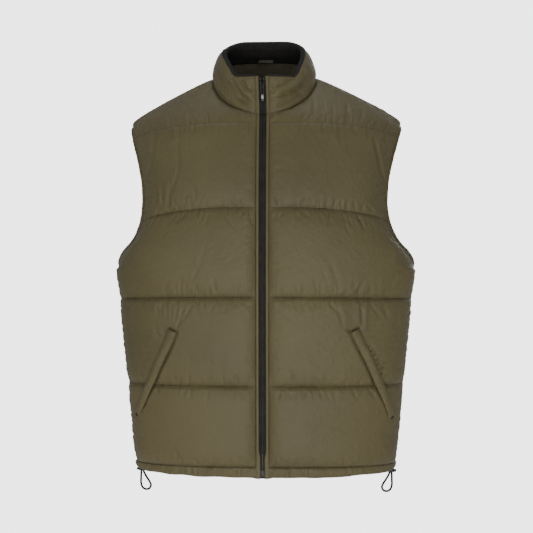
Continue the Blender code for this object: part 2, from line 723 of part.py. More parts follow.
def mesh_of_curve(name, curve, turn):
    """The curve's solid as a mesh, welded and turned."""
    guide = bpy.data.objects.new(name + "_guide", curve)
    bpy.context.scene.collection.objects.link(guide)
    guide.rotation_euler = turn
    bpy.context.view_layer.update()
    graph = bpy.context.evaluated_depsgraph_get()
    mesh = bpy.data.meshes.new_from_object(guide.evaluated_get(graph))
    mesh.name = name
    body = bmesh.new()
    body.from_mesh(mesh)
    bmesh.ops.remove_doubles(body, verts=body.verts, dist=1e-6)
    bmesh.ops.transform(body, matrix=guide.matrix_world, verts=body.verts)
    bmesh.ops.recalc_face_normals(body, faces=body.faces)
    body.to_mesh(mesh)
    body.free()
    bpy.data.objects.remove(guide, do_unlink=True)
    return mesh


def box_mesh(name, size, bevel):
    """A box centred on its origin, its edges bevelled."""
    body = bmesh.new()
    bmesh.ops.create_cube(body, size=1.0)
    bmesh.ops.scale(body, vec=size, verts=body.verts)
    bmesh.ops.bevel(body, geom=list(body.edges), offset=bevel, segments=2, affect="EDGES",
                    profile=0.5)
    mesh = bpy.data.meshes.new(name)
    body.to_mesh(mesh)
    body.free()
    return mesh


def smooth_route(route, stations):
    """Points evenly along a cubic that passes through a route's own points."""
    points = np.array(route)
    steps = np.linalg.norm(np.diff(points, axis=0), axis=1)
    knots = np.concatenate([[0.0], np.cumsum(steps)])
    fine = np.linspace(0, knots[-1], FINE)
    curves = points[:, None, :]
    path = loft(knots, curves, fine, 1, np.zeros(1))[:, 0]
    return by_length(path, np.linspace(0, 1, stations))


# ---------------------------------------------------------------- the vest's pieces


def add_panels(place, parent, front, back):
    meshes = {}
    for side, sign in SIDES:
        flip = np.array((sign, 1.0, 1.0))
        name = f"front_{side}"
        mesh = wall_mesh(name, front.outer * flip, front.inner * flip)
        add_object(name, mesh, SHELL, place, parent)
        meshes[side] = mesh
    mesh = wall_mesh("back", whole_width(back.outer), whole_width(back.inner))
    add_object("back", mesh, SHELL, place, parent)
    return meshes


def add_collar(place, parent, front, back):
    collar = collar_lines(front, back)
    outer, inner = collar_wall(collar)
    add_object("collar", wall_mesh("collar", outer, inner), SHELL, place, parent)
    lining = swept_mesh("collar_lining", lining_sections(collar))
    add_object("collar_lining", lining, PILE, place, parent)
    near, far = facing_grids(collar, back)
    add_object("neck_facing", wall_mesh("neck_facing", near, far), FACING, place, parent)
    loop = swept_mesh("hanger_loop", hanger_loop_sections(collar))
    add_object("hanger_loop", loop, FACING, place, parent)
    return collar


def add_edges(place, parent, front, back):
    hem_front = hem_sections(stepped_in(front.base, True, front.underarm)[0], front.normals[0])
    binding = binding_sections(front, back)
    for side, sign in SIDES:
        flip = np.array((sign, 1.0, 1.0))
        name = f"hem_front_{side}"
        add_object(name, swept_mesh(name, hem_front * flip), SHELL, place, parent)
        name = f"armhole_binding_{side}"
        add_object(name, swept_mesh(name, binding * flip, ring=True), SHELL, place, parent)
    base = whole_width(stepped_in(back.base, False, back.underarm))[0]
    sections = hem_sections(base, whole_normals(back)[0])
    add_object("hem_back", swept_mesh("hem_back", sections), SHELL, place, parent)


def add_zip(place, cutters, parent, line, forward):
    above = ease((line[:, 2] - SLIDER_Z) / SLIDER_SIZE[2])
    tape_in = TAPE_IN_X + (TAPE_PARTED_X - TAPE_IN_X) * above
    placket = strip_sections(line, forward, PLACKET_IN_X, FRONT_EDGE_X - SEAM_INSET,
                             PLACKET_PROUD, PLACKET_BACK)
    tape = strip_sections(line, forward, tape_in, TAPE_OUT_X, -TAPE_FRONT, TAPE_BACK)
    for side, sign in SIDES:
        flip = np.array((sign, 1.0, 1.0))
        name = f"placket_{side}"
        add_object(name, swept_mesh(name, placket * flip), SHELL, place, parent)
        name = f"zip_tape_{side}"
        add_object(name, swept_mesh(name, tape * flip), TAPE, place, parent)

    box = add_object("zip_box", box_mesh("zip_box", BOX_SIZE, SMALL_ROUND), PLASTIC, place, parent)
    box.location = (0.0, point_on_line(line, BOX_Z), BOX_Z)

    front_y = point_on_line(line, SLIDER_Z)
    slider = add_object(
        "zip_slider", box_mesh("zip_slider", SLIDER_SIZE, SMALL_ROUND), METAL, place, parent
    )
    slider.location = (0.0, front_y + SLIDER_BACK - SLIDER_SIZE[1] / 2, SLIDER_Z)
    pin_y = front_y - PIN_REACH
    tip = PIN_REACH + BRIDGE_HOLE + BRIDGE_RIM
    root = SLIDER_SIZE[1] - SLIDER_BACK - BRIDGE_SUNK
    bridge_outline = rounded_box(
        BRIDGE_HALF_Z, root - PIN_REACH, tip - PIN_REACH, SMALL_ROUND
    )
    hole_outline = rounded_box(BRIDGE_HOLE, -BRIDGE_HOLE, BRIDGE_HOLE, SMALL_ROUND / 2)
    curve = flat_curve("bridge", [bridge_outline, hole_outline], BRIDGE_HALF_X)
    # the outline's x runs up the zip and its y runs forward
    turned = mesh_of_curve("bridge", curve, (0.0, 0.0, 0.0))
    body = bmesh.new()
    body.from_mesh(turned)
    for vert in body.verts:
        up, out, across = vert.co
        vert.co = (across, -out, up)
    bmesh.ops.recalc_face_normals(body, faces=body.faces)
    body.to_mesh(turned)
    body.free()
    bridge = bpy.data.objects.new("zip_bridge", turned)
    cutters.objects.link(bridge)
    bridge.location = (0.0, pin_y, SLIDER_Z)
    bridge.hide_render = True
    bridge.display_type = "WIRE"
    join = slider.modifiers.new("bridge", "BOOLEAN")
    join.operation = "UNION"
    join.object = bridge

    half = PULL_THICK / 2
    outer = rounded_box(PULL_HALF_X, -PULL_LENGTH, half, SMALL_ROUND)
    hole = rounded_box(PULL_HOLE_HALF_X, -PULL_HOLE_LENGTH, -half, SMALL_ROUND)
    curve = flat_curve("zip_pull", [outer, hole], half)
    mesh = mesh_of_curve("zip_pull", curve, (math.pi / 2, 0.0, 0.0))
    pull = add_object("zip_pull", mesh, METAL, place, parent)
    pull.location = (0.0, pin_y, SLIDER_Z)


def add_welts(place, parent, front_mesh):
    near, far = welt_grids(front_mesh)
    for side, sign in SIDES:
        flip = np.array((sign, 1.0, 1.0))
        name = f"pocket_welt_{side}"
        add_object(name, wall_mesh(name, far * flip, near * flip), SHELL, place, parent)


def add_drawcords(place, parent):
    path = smooth_route(LOOP_ROUTE, CORD_STATIONS)
    for side, sign in SIDES:
        name = f"drawcord_loop_{side}"
        curve = bpy.data.curves.new(name, "CURVE")
        curve.dimensions = "3D"
        curve.bevel_depth = CORD_DIAMETER / 2
        curve.bevel_resolution = 2
        curve.use_fill_caps = True
        spline = curve.splines.new("POLY")
        spline.points.add(len(path) - 1)
        for point, (x, y, z) in zip(spline.points, path):
            point.co = (sign * x, y, z, 1.0)
        add_object(name, curve, CORD, place, parent)

        name = f"cord_lock_{side}"
        body = bmesh.new()
        length = LOCK_X[1] - LOCK_X[0]
        bmesh.ops.create_cone(body, cap_ends=True, segments=16, radius1=LOCK_RADIUS,
                              radius2=LOCK_RADIUS, depth=length)
        mesh = bpy.data.meshes.new(name)
        body.to_mesh(mesh)
        body.free()
        mesh.shade_smooth()
        mesh.set_sharp_from_angle(angle=math.radians(50))
        lock = add_object(name, mesh, PLASTIC, place, parent)
        lock.location = (sign * sum(LOCK_X) / 2, 0.0, LOCK_Z)
        lock.rotation_euler = (0.0, math.pi / 2, 0.0)
        rounded = lock.modifiers.new("rounded_ends", "BEVEL")
        rounded.width = LOCK_ROUND
        rounded.segments = 2
        rounded.limit_method = "ANGLE"
        rounded.angle_limit = math.radians(60)


def main():
    clear_scene()
    place = collection_named(COLLECTION)
    cutters = collection_named("cutters", hidden=True)
    parent = bpy.data.objects.new("vest_origin", None)
    place.objects.link(parent)
    front = half_panel(FRONT_ROWS, FRONT_NECK, FRONT_EDGE_X)
    back = half_panel(BACK_ROWS, BACK_NECK, 0.0)
    meshes = add_panels(place, parent, front, back)
    collar = add_collar(place, parent, front, back)
    add_edges(place, parent, front, back)
    line, forward = front_line(front, collar)
    add_zip(place, cutters, parent, line, forward)
    add_welts(place, parent, meshes["right"])
    add_drawcords(place, parent)


main()
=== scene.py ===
"""The looks of the quilted puffer vest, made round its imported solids. Metres, +Z up, front towards
-Y. Left and right are as seen from the front, and a panel's shares run from the centre out."""

import math
from collections import namedtuple

import bpy
import numpy as np
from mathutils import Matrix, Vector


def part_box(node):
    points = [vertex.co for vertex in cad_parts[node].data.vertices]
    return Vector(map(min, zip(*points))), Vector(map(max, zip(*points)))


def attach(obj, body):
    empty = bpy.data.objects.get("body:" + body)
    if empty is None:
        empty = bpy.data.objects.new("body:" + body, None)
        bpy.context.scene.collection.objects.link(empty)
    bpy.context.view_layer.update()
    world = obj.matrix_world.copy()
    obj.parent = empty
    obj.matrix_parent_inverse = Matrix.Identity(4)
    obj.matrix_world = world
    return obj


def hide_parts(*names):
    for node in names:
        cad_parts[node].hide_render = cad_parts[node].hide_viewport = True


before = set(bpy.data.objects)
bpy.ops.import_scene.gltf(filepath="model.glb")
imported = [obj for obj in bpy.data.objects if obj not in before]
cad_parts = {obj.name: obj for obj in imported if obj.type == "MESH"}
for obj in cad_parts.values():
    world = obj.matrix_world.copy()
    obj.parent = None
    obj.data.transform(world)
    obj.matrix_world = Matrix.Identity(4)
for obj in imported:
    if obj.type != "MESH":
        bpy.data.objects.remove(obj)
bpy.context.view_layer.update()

VEST, PULL = "vest", "pull"
MIRROR = np.array((-1.0, 1.0, 1.0))
SIDES = (("left", MIRROR), ("right", np.ones(3)))
RIGHTWARD = np.array((1.0, 0.0, 0.0))
SHARP_ANGLE = math.radians(48)
CURVE_SAMPLES = 600  # points that a curve is worked out at before its even steps are read off

# The cut of the vest, as its solids have it
SEAM_INSET = -0.0002  # sewn edges run this far into each other
WALL = 0.002
FRONT_EDGE_X = 0.0115
PLACKET_IN_X = 0.0056
TAPE_OUT_X = 0.0080
TAPE_IN_X = 0.0004
TAPE_PARTED_X = 0.0034
NECK_HALF = 0.0868
SHOULDER_TIP = np.array((0.2293, 0.0, -0.0800))
SHOULDER_BOW = 0.0140
SHOULDER_AT_NECK = 0.6
SHOULDER_AT_TIP = 0.2
NECK_SHARE = 0.40
NECK_LIFT = 0.7
Neck = namedtuple("Neck", "centre_y centre_z")
FRONT_NECK = Neck(-0.0920, -0.0710)
BACK_NECK = Neck(0.0800, 0.0180)

Row = namedtuple("Row", "name centre_z edge_z edge_x edge_y centre_y squareness")
FRONT_ROWS = (
    Row("hem", -0.6480, -0.6500, 0.2205, 0.0, -0.1080, 2.35),
    Row("lower_quilt", -0.5155, -0.5160, 0.2330, 0.0, -0.1140, 2.35),
    Row("middle_quilt", -0.3705, -0.3745, 0.2470, 0.0, -0.1180, 2.35),
    Row("underarm", -0.3225, -0.3270, 0.2520, 0.0, -0.1185, 2.35),
    Row("armhole_1", -0.3090, -0.3155, 0.2500, -0.0240, -0.1185, 2.35),
    Row("armhole_2", -0.2905, -0.2990, 0.2412, -0.0380, -0.1180, 2.35),
    Row("armhole_3", -0.2675, -0.2810, 0.2238, -0.0460, -0.1175, 2.35),
    Row("chest_quilt", -0.2255, -0.2460, 0.2068, -0.0515, -0.1165, 2.30),
    Row("chest", -0.1640, -0.1900, 0.2030, -0.0500, -0.1120, 2.20),
    Row("upper_chest", -0.1190, -0.1400, 0.2122, -0.0420, -0.1045, 2.10),
    Row("yoke_quilt", -0.0864, -0.1040, 0.2228, -0.0280, -0.0975, 2.05),
)
BACK_ROWS = (
    Row("hem", -0.6480, -0.6500, 0.2205, 0.0, 0.0980, 2.30),
    Row("lower_quilt", -0.5150, -0.5160, 0.2330, 0.0, 0.1030, 2.30),
    Row("middle_quilt", -0.3720, -0.3745, 0.2470, 0.0, 0.1070, 2.30),
    Row("underarm", -0.3225, -0.3270, 0.2520, 0.0, 0.1090, 2.30),
    Row("armhole_1", -0.3080, -0.3155, 0.2500, 0.0260, 0.1095, 2.30),
    Row("armhole_2", -0.2870, -0.2990, 0.2412, 0.0410, 0.1100, 2.30),
    Row("armhole_3", -0.2600, -0.2810, 0.2238, 0.0500, 0.1100, 2.30),
    Row("chest_quilt", -0.2200, -0.2460, 0.2070, 0.0560, 0.1100, 2.25),
    Row("chest", -0.1450, -0.1900, 0.2042, 0.0560, 0.1080, 2.15),
    Row("upper_chest", -0.0880, -0.1400, 0.2130, 0.0480, 0.1030, 2.10),
    Row("yoke_quilt", -0.0450, -0.1040, 0.2228, 0.0330, 0.0960, 2.05),
)
UNDERARM_ROW = 3
UPPER_FALL = 3.0  # how late the two upper quilting lines fall towards the armhole
# Padded channels: their first and last row, the padding's height and how flat its lower and its
# upper half are
Channel = namedtuple("Channel", "lower upper height flat_low flat_high")
CHANNELS = (
    Channel(0, 1, 0.0125, 6.0, 7.5), Channel(1, 2, 0.0130, 5.0, 7.5),
    Channel(2, 7, 0.0135, 4.5, 3.4), Channel(7, 10, 0.0105, 6.5, 4.5),
    Channel(10, 11, 0.0050, 3.1, 3.1),
)
STRETCHES = ((0, 1, 0), (1, 2, 1), (2, 3, 2), (3, 7, 2), (7, 10, 3), (10, 11, 4))
PUFF_STEEPNESS = 0.64
QUILTED_HEIGHT = 0.0044  # of the padding where a row of stitches holds it down
ZIP_EDGE_SHARE = 0.28  # of the padding's height that is left at the edge along the zip
LOOSE_FROM = 0.7
FADE_AT_ZIP = 0.009
FADE_AT_SIDE = 0.075
FADE_AT_ARMHOLE = 0.045
UNDERARM_BLEND = 0.070
CLOTH_STEP = 0.0046  # spacing of the points that are blown out; the finished cloth has half of it

COLLAR_TOP_HALF = 0.0708
COLLAR_TOP_FRONT_Y = -0.0900
COLLAR_TOP_BACK_Y = 0.0820
COLLAR_FRONT_Z = -0.0085
COLLAR_SIDE_Z = 0.0475
COLLAR_BACK_Z = 0.0732
COLLAR_SQUARENESS = 2.5
COLLAR_PUFF = 0.0060
COLLAR_POINTS = 54  # along each quarter of the neck seam
COLLAR_STEPS = 17  # up from the seam to the top
COLLAR_SEED = 51
# How the top edge drops from the side to the front: shares of the way forward, and of the drop
COLLAR_DROP_LEFT = ((0.0, 0.30, 0.60, 0.757, 0.805, 0.87, 1.0),
                    (0.0, 0.16, 0.44, 0.710, 0.880, 0.98, 1.0))
COLLAR_DROP_RIGHT = ((0.0, 0.15, 0.30, 0.54, 0.64, 0.76, 1.0),
                     (0.0, 0.16, 0.33, 0.59, 0.81, 0.98, 1.0))
# How it rises from the side to the back: shares of the way back, and of the rise
COLLAR_RISE = ((0.0, 0.34, 0.57, 0.76, 0.89, 1.0), (0.0, 0.28, 0.56, 0.80, 0.94, 1.0))
LINING_FRONT_FOOT = 0.004
LINING_BACK_FOOT = 0.020
LINING_RISE_START = 0.35
LINING_ROLL = ((-0.0030, 0.0004), (0.0008, 0.0004), (0.0002, 0.0030), (-0.0030, 0.0042),
               (-0.0066, 0.0034), (-0.0088, -0.0008), (-0.0080, -0.0120))
LINING_FOOT_DEPTHS = (-0.0060, -0.0030)

# Creases pressed into the cloth, in millimetres: places in x and z, then the half width
# and the depth. A depth below zero is a ridge.
MM = 0.001
Crease = namedtuple("Crease", "places width depth")
LEFT_CREASES = (
    (((-178, -101), (-179, -127), (-189, -166), (-196, -179)), 3.2, 1.2),
    (((-186, -137), (-194, -173)), 3, -1.1),
    (((-138, -94), (-137, -127), (-134, -163), (-145, -196), (-156, -222)), 3, 1.1),
    (((-74, -92), (-70, -130)), 2.6, 0.9), (((-174, -173), (-171, -222)), 2.6, 1.1),
    (((-163, -186), (-160, -224)), 2.4, 1.2), (((-147, -183), (-153, -224)), 2.6, 1.2),
    (((-109, -188), (-107, -220)), 2.4, 1), (((-94, -206), (-99, -225)), 2, 0.8),
    (((-122, -201), (-125, -225)), 2, 0.8), (((-183, -246), (-202, -274), (-224, -294)), 3.2, 1.2),
    (((-171, -243), (-189, -266), (-207, -284)), 2.4, 1), (((-233, -304), (-202, -317)), 3.8, 1),
    (((-91, -287), (-99, -317), (-114, -353)), 2.8, 1), (((-78, -338), (-73, -368)), 2.4, 1.3),
    (((-129, -335), (-132, -368)), 2.2, 1), (((-170, -379), (-166, -404)), 2, 1.1),
    (((-161, -379), (-161, -410)), 1.8, 1), (((-153, -379), (-152, -409)), 1.8, 1),
    (((-145, -381), (-145, -410)), 1.8, 1), (((-135, -381), (-140, -414)), 2, 1.2),
    (((-124, -382), (-132, -409), (-138, -428)), 2.2, 1.8),
    (((-109, -379), (-122, -400), (-132, -417)), 2.2, 1.4), (((-76, -378), (-83, -397)), 2.2, 1.2),
    (((-173, -410), (-170, -428), (-163, -438)), 2.6, 1.1),
    (((-160, -427), (-152, -421), (-137, -428)), 1.8, 3.2), (((-56, -522), (-52, -540)), 2.2, 1),
    (((-206, -520), (-184, -559)), 4.6, 1.2), (((-155, -599), (-112, -605)), 4, 0.8),
)
RIGHT_CREASES = (
    (((176, -104), (183, -133), (191, -163), (204, -186)), 3, 3),
    (((191, -133), (202, -176)), 2.8, -1.4), (((194, -107), (207, -132)), 2.4, 1.3),
    (((197, -140), (206, -156)), 1.8, 1), (((81, -37), (83, -78)), 3, 1),
    (((134, -47), (142, -83)), 3, 1), (((163, -55), (160, -86)), 3, 1),
    (((150, -235), (160, -260)), 2, 1.6), (((145, -238), (155, -263)), 2, -0.8),
    (((130, -255), (140, -274)), 2.6, 0.9), (((196, -246), (212, -269), (228, -291)), 2.8, 1.1),
    (((188, -251), (202, -274), (215, -291)), 2.4, 1), (((214, -282), (209, -314)), 3, -1.1),
    (((104, -304), (117, -338), (125, -360)), 3.4, 1), (((84, -333), (84, -360)), 2.2, 1),
    (((96, -327), (106, -353)), 2.4, 1), (((143, -337), (148, -360)), 2.2, 0.9),
    (((222, -314), (207, -337), (204, -360)), 4, 1.1),
    (((102, -374), (122, -396), (129, -420)), 2.1, 1.9), (((117, -379), (132, -409)), 1.7, 1),
    (((140, -381), (143, -417)), 6.4, 1), (((156, -376), (158, -418)), 2.1, 2),
    (((165, -378), (162, -422)), 2.1, -1.4), (((130, -421), (142, -427), (158, -419)), 1.8, 3.6),
    (((71, -576), (94, -579), (117, -574)), 3, 1), (((73, -589), (114, -592)), 3.4, 0.8),
    (((222, -381), (210, -412), (215, -448)), 4, 0.8), (((202, -572), (189, -595)), 4, 1.1),
)
# Rows of short pleats: where the first and the last start, how many, and how each runs
PleatRow = namedtuple("PleatRow", "first last count run width depth")
LEFT_PLEATS = (
    ((-188, -261), (-119, -248), 11, (7, 18), 1.6, 1.3),
    ((-138, -369), (-83, -369), 8, (-2, 21), 1.5, 1.2),
    ((-174, -448), (-194, -499), 5, (-8, 3), 2.1, 1.8),
    ((-17, -425), (-17, -500), 11, (-8, -10), 1.3, 0.9),
    ((-145, -520), (-122, -522), 5, (3, -10), 1.4, 1.1),
    ((-107, -520), (-40, -520), 6, (5, -13), 1.5, 0.9),
    ((-188, -225), (-92, -222), 9, (2, 16), 1.5, 0.9),
)
RIGHT_PLEATS = (
    ((55, -369), (94, -369), 6, (2, 21), 1.6, 1.3),
    ((104, -369), (122, -369), 3, (0, 20), 1.5, 1.3),
    ((45, -378), (101, -378), 8, (3, -15), 1.5, 1), ((166, -452), (185, -497), 7, (10, 5), 2, 3.6),
    ((166, -410), (170, -435), 4, (20, 10), 1.8, 1.3),
    ((32, -523), (98, -520), 8, (-7, -16), 1.6, 1.1),
    ((135, -235), (170, -243), 5, (8, -20), 1.8, 1.3),
    ((22, -224), (124, -227), 10, (2, 15), 1.5, 1), ((17, -425), (17, -497), 8, (8, -10), 1.3, 0.8),
)
BACK_CREASES = (
    (((-190, -120), (-196, -165), (-186, -212)), 4.2, 2),
    (((182, -112), (192, -160), (190, -215)), 4.2, 2.2),
    (((-120, -60), (-126, -110), (-118, -160)), 4.8, 1.6), (((60, -170), (70, -224)), 3.6, 1.6),
    (((-150, -232), (-136, -280)), 3.6, 1.9), (((110, -320), (126, -372), (120, -410)), 4.2, 1.9),
    (((-40, -372), (-52, -420)), 3.6, 1.7), (((-200, -378), (-186, -430)), 4.2, 2),
    (((190, -380), (202, -440)), 4.2, 1.9), (((30, -470), (20, -518)), 3.6, 1.6),
    (((-110, -516), (-100, -570)), 4.2, 1.7), (((130, -600), (136, -646)), 3.6, 1.7),
)
COLLAR_CREASES = (
    (((-39, -8), (-28, -25), (-16, -33)), 3.8, 5.4),
    (((-62, -6), (-42, -41), (-17, -62)), 6.0, 6.2),
    (((-50, -10), (-34, -41), (-15, -53)), 4.2, 4.9),
    (((-72, 14), (-66, -14), (-54, -36)), 5.1, 4.1), (((-19, -12), (-16, -40)), 3.0, 2.7),
    (((79, -4), (56, -30), (16, -46)), 5.1, 7.0), (((78, -22), (50, -42), (14, -62)), 5.1, 5.4),
    (((60, -4), (37, -20), (15, -27)), 4.2, 4.9), (((70, 20), (72, -4), (60, -18)), 5.1, 3.8),
    (((16, -14), (18, -40)), 3.0, 2.4),
)

# Camera and light
CAMERA_AWAY = 2.2
CAMERA_TURN = math.radians(2.9)
CAMERA_Z = -0.321
CAMERA_ASIDE = 0.0010
CAMERA_LENS = 86.86
FLOOR_Z = -1.45

# The collar leans a little to the left, from the yoke up
COLLAR_LEAN = 0.0040
LEAN_LOW_Z = -0.085
LEAN_RISE = 0.150

Grid = namedtuple("Grid", "base normals across along puff fade rows")
Form = namedtuple("Form", "points faces uv marks", defaults=(None,))


# ---- numbers and curves


def unit(vectors):
    """Each vector divided by its own length."""
    return vectors / np.maximum(np.linalg.norm(vectors, axis=-1, keepdims=True), 1e-12)


def ease(share):
    """Three times the share's square less twice its cube, the share held between 0 and 1."""
    held = np.clip(share, 0.0, 1.0)
    return held * held * (3 - 2 * held)


def reach_along(points):
    """The length of a polyline up to each of its points."""
    steps = np.linalg.norm(np.diff(points, axis=0), axis=1)
    return np.concatenate([[0.0], np.cumsum(steps)])


def lengths_over(grid, axis):
    """The length of a grid's lines up to each of its points, down axis 0 or across axis 1: the
    running sum of the steps."""
    steps = np.linalg.norm(np.diff(grid, axis=axis), axis=2)
    room = [(1 - axis, 0), (axis, 0)]
    return np.pad(np.cumsum(steps, axis=axis), room)


def at_lengths(points, values, lengths):
    """Each column of values, read at these lengths along a polyline."""
    reach = reach_along(points)
    return np.stack([np.interp(lengths, reach, column) for column in values.T], axis=1)


def by_length(points, shares):
    """The points at these shares of a polyline's whole length."""
    return at_lengths(points, points, shares * reach_along(points)[-1])


def smoothed(values, reach):
    """Values of a grid after a Gaussian blur of this many cells, its edge values held beyond it."""
    taps = np.arange(-int(3 * reach), int(3 * reach) + 1)
    weights = np.exp(-0.5 * (taps / reach) ** 2)
    weights /= weights.sum()
    for axis in (0, 1):
        held = np.pad(
            values,
            [(taps[-1], taps[-1]) if a == axis else (0, 0) for a in range(values.ndim)],
            mode="edge",
        )
        count = values.shape[axis]
        values = sum(
            weight * np.take(held, np.arange(shift, shift + count), axis=axis)
            for shift, weight in enumerate(weights)
        )
    return values


def doubled(grid):
    """A grid with a point added between each two: nine sixteenths of both of them less one
    sixteenth of both of the next ones."""
    for axis in (0, 1):
        moved = np.moveaxis(grid, axis, 0)
        before = np.concatenate([2 * moved[:1] - moved[1:2], moved[:-2]])
        after = np.concatenate([moved[2:], 2 * moved[-1:] - moved[-2:-1]])
        between = (9 * (moved[:-1] + moved[1:]) - before - after) / 16
        full = np.empty((2 * len(moved) - 1, *moved.shape[1:]))
        full[::2], full[1::2] = moved, between
        grid = np.moveaxis(full, 0, axis)
    return grid


def softened(sections, rounds=2):
    """Closed sections with their corners cut at a quarter of each side, this many times."""
    for _ in range(rounds):
        after = np.roll(sections, -1, axis=1)
        cut = np.stack([0.75 * sections + 0.25 * after, 0.25 * sections + 0.75 * after], axis=2)
        sections = cut.reshape(len(sections), -1, sections.shape[-1])
    return sections


def grid_at(grid, values, spots):
    """Values of a grid at places given by x and z: the nearest point, then Newton's steps on the
    two-way straight blend of its cell's corners."""
    flat = grid[..., [0, 2]]
    shape = spots.shape[:-1]
    spots = spots.reshape(-1, 2)
    away = ((flat.reshape(1, -1, 2) - spots[:, None]) ** 2).sum(axis=-1)
    place = np.stack(np.unravel_index(away.argmin(axis=1), flat.shape[:2]), axis=1).astype(float)
    limit = np.array(flat.shape[:2]) - 1.000001

    def blend(source):
        low = np.floor(place).astype(int)
        row, column = low.T
        down, over = (place - low).T[..., None]
        corners = source[row, column], source[row, column + 1]
        corners += source[row + 1, column], source[row + 1, column + 1]
        a, b, c, d = corners
        value = a * (1 - down) * (1 - over) + b * (1 - down) * over + c * down * (1 - over)
        value = value + d * down * over
        by_row = (c - a) * (1 - over) + (d - b) * over
        by_column = (b - a) * (1 - down) + (d - c) * down
        return value, by_row, by_column

    for _ in range(8):
        place = np.clip(place, 0, limit)
        value, by_row, by_column = blend(flat)
        miss = spots - value
        size = by_row[:, 0] * by_column[:, 1] - by_row[:, 1] * by_column[:, 0]
        size = np.where(np.abs(size) < 1e-12, 1e-12, size)
        step_row = (miss[:, 0] * by_column[:, 1] - miss[:, 1] * by_column[:, 0]) / size
        step_column = (by_row[:, 0] * miss[:, 1] - by_row[:, 1] * miss[:, 0]) / size
        place = place + np.clip(np.stack([step_row, step_column], axis=1), -1.5, 1.5)
    place = np.clip(place, 0, limit)
    return blend(values)[0].reshape(*shape, values.shape[-1])


def wander(rng, count, wave):
    """A random line whose waves are about this many points long: random heights, blurred, then
    divided by the greatest."""
    loose = rng.normal(size=(count + 8 * int(wave + 1), 1))
    line = smoothed(loose, max(wave / 2.5, 0.6))[:, 0][4 * int(wave + 1):][:count]
    return line / np.abs(line).max()


# ---- meshes and pieces


def mesh_of(name, form):
    """A mesh from arrays of points, of faces grouped by their number of corners, and of UVs."""
    mesh = bpy.data.meshes.new(name)
    sizes = np.concatenate([np.full(len(group), group.shape[1]) for group in form.faces])
    corners = np.concatenate([group.ravel() for group in form.faces])
    mesh.vertices.add(len(form.points))
    mesh.vertices.foreach_set("co", form.points.astype(np.float32).ravel())
    mesh.loops.add(len(corners))
    mesh.loops.foreach_set("vertex_index", corners.astype(np.int32))
    mesh.polygons.add(len(sizes))
    mesh.polygons.foreach_set("loop_start", np.concatenate([[0], np.cumsum(sizes)[:-1]]))
    mesh.update(calc_edges=True)
    for label, values in (("cloth", form.uv), ("seams", form.marks)):
        if values is not None:
            layer = mesh.uv_layers.new(name=label)
            layer.data.foreach_set("uv", values[corners].astype(np.float32).ravel())
    mesh.shade_smooth()
    mesh.set_sharp_from_angle(angle=SHARP_ANGLE)
    return mesh


def outward(form):
    """The form with its faces turned outwards, found from the sign of its volume."""
    volume = 0.0
    for group in form.faces:
        a = form.points[group[:, 0]]
        for k in range(1, group.shape[1] - 1):
            b, c = form.points[group[:, k]], form.points[group[:, k + 1]]
            volume += np.einsum("ij,ij->i", a, np.cross(b, c)).sum()
    if volume < 0:
        return form._replace(faces=[group[:, ::-1] for group in form.faces])
    return form


def new_object(name, data):
    """An object that holds this data, in the scene."""
    obj = bpy.data.objects.new(name, data)
    bpy.context.scene.collection.objects.link(obj)
    return obj


def piece(name, form, finish, body=VEST, nodes=()):
    """A named piece of the vest on one of its bodies, in the place of the nodes named. From the
    yoke up it leans to the left by the lean times an eased share of the height."""
    points = form.points.copy()
    points[:, 0] -= COLLAR_LEAN * ease((points[:, 2] - LEAN_LOW_Z) / LEAN_RISE)
    obj = new_object(name, mesh_of(name, outward(form._replace(points=points))))
    obj.data.materials.append(finish)
    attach(obj, body)
    if nodes:
        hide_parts(*nodes)
    return obj


def joined(forms):
    """Several forms as one."""
    shift, faces = 0, {}
    for form in forms:
        for group in form.faces:
            faces.setdefault(group.shape[1], []).append(group + shift)
        shift += len(form.points)
    uv = None
    if all(form.uv is not None for form in forms):
        uv = np.concatenate([form.uv for form in forms])
    return Form(
        np.concatenate([form.points for form in forms]),
        [np.concatenate(groups) for groups in faces.values()],
        uv,
    )


def wall(outer, inner, uv, marks=None):
    """A closed wall. The inner grid has every second point of the outer one, and the rim's faces
    have three corners outside and two inside."""
    rows, columns = outer.shape[:2]
    fine = np.arange(rows * columns).reshape(rows, columns)
    coarse = rows * columns + np.arange(inner[..., 0].size).reshape(inner.shape[:2])

    def cells(index):
        corners = index[:-1, :-1], index[:-1, 1:], index[1:, 1:], index[1:, :-1]
        return np.stack(corners, axis=-1).reshape(-1, 4)

    def rim(index):
        return np.concatenate([index[0, :-1], index[:-1, -1], index[-1, :0:-1], index[:0:-1, 0]])

    near, far = rim(fine), rim(coarse)
    edge = np.stack(
        [near[::2], far, np.roll(far, -1), np.roll(near[::2], -1), near[1::2]], axis=-1
    )
    points = np.concatenate([outer.reshape(-1, 3), inner.reshape(-1, 3)])

    def spread(values):
        return np.concatenate([values.reshape(-1, 2), values[::2, ::2].reshape(-1, 2)])

    faces = [np.concatenate([cells(fine), cells(coarse)[:, ::-1]]), edge]
    return Form(points, faces, spread(uv), None if marks is None else spread(marks))


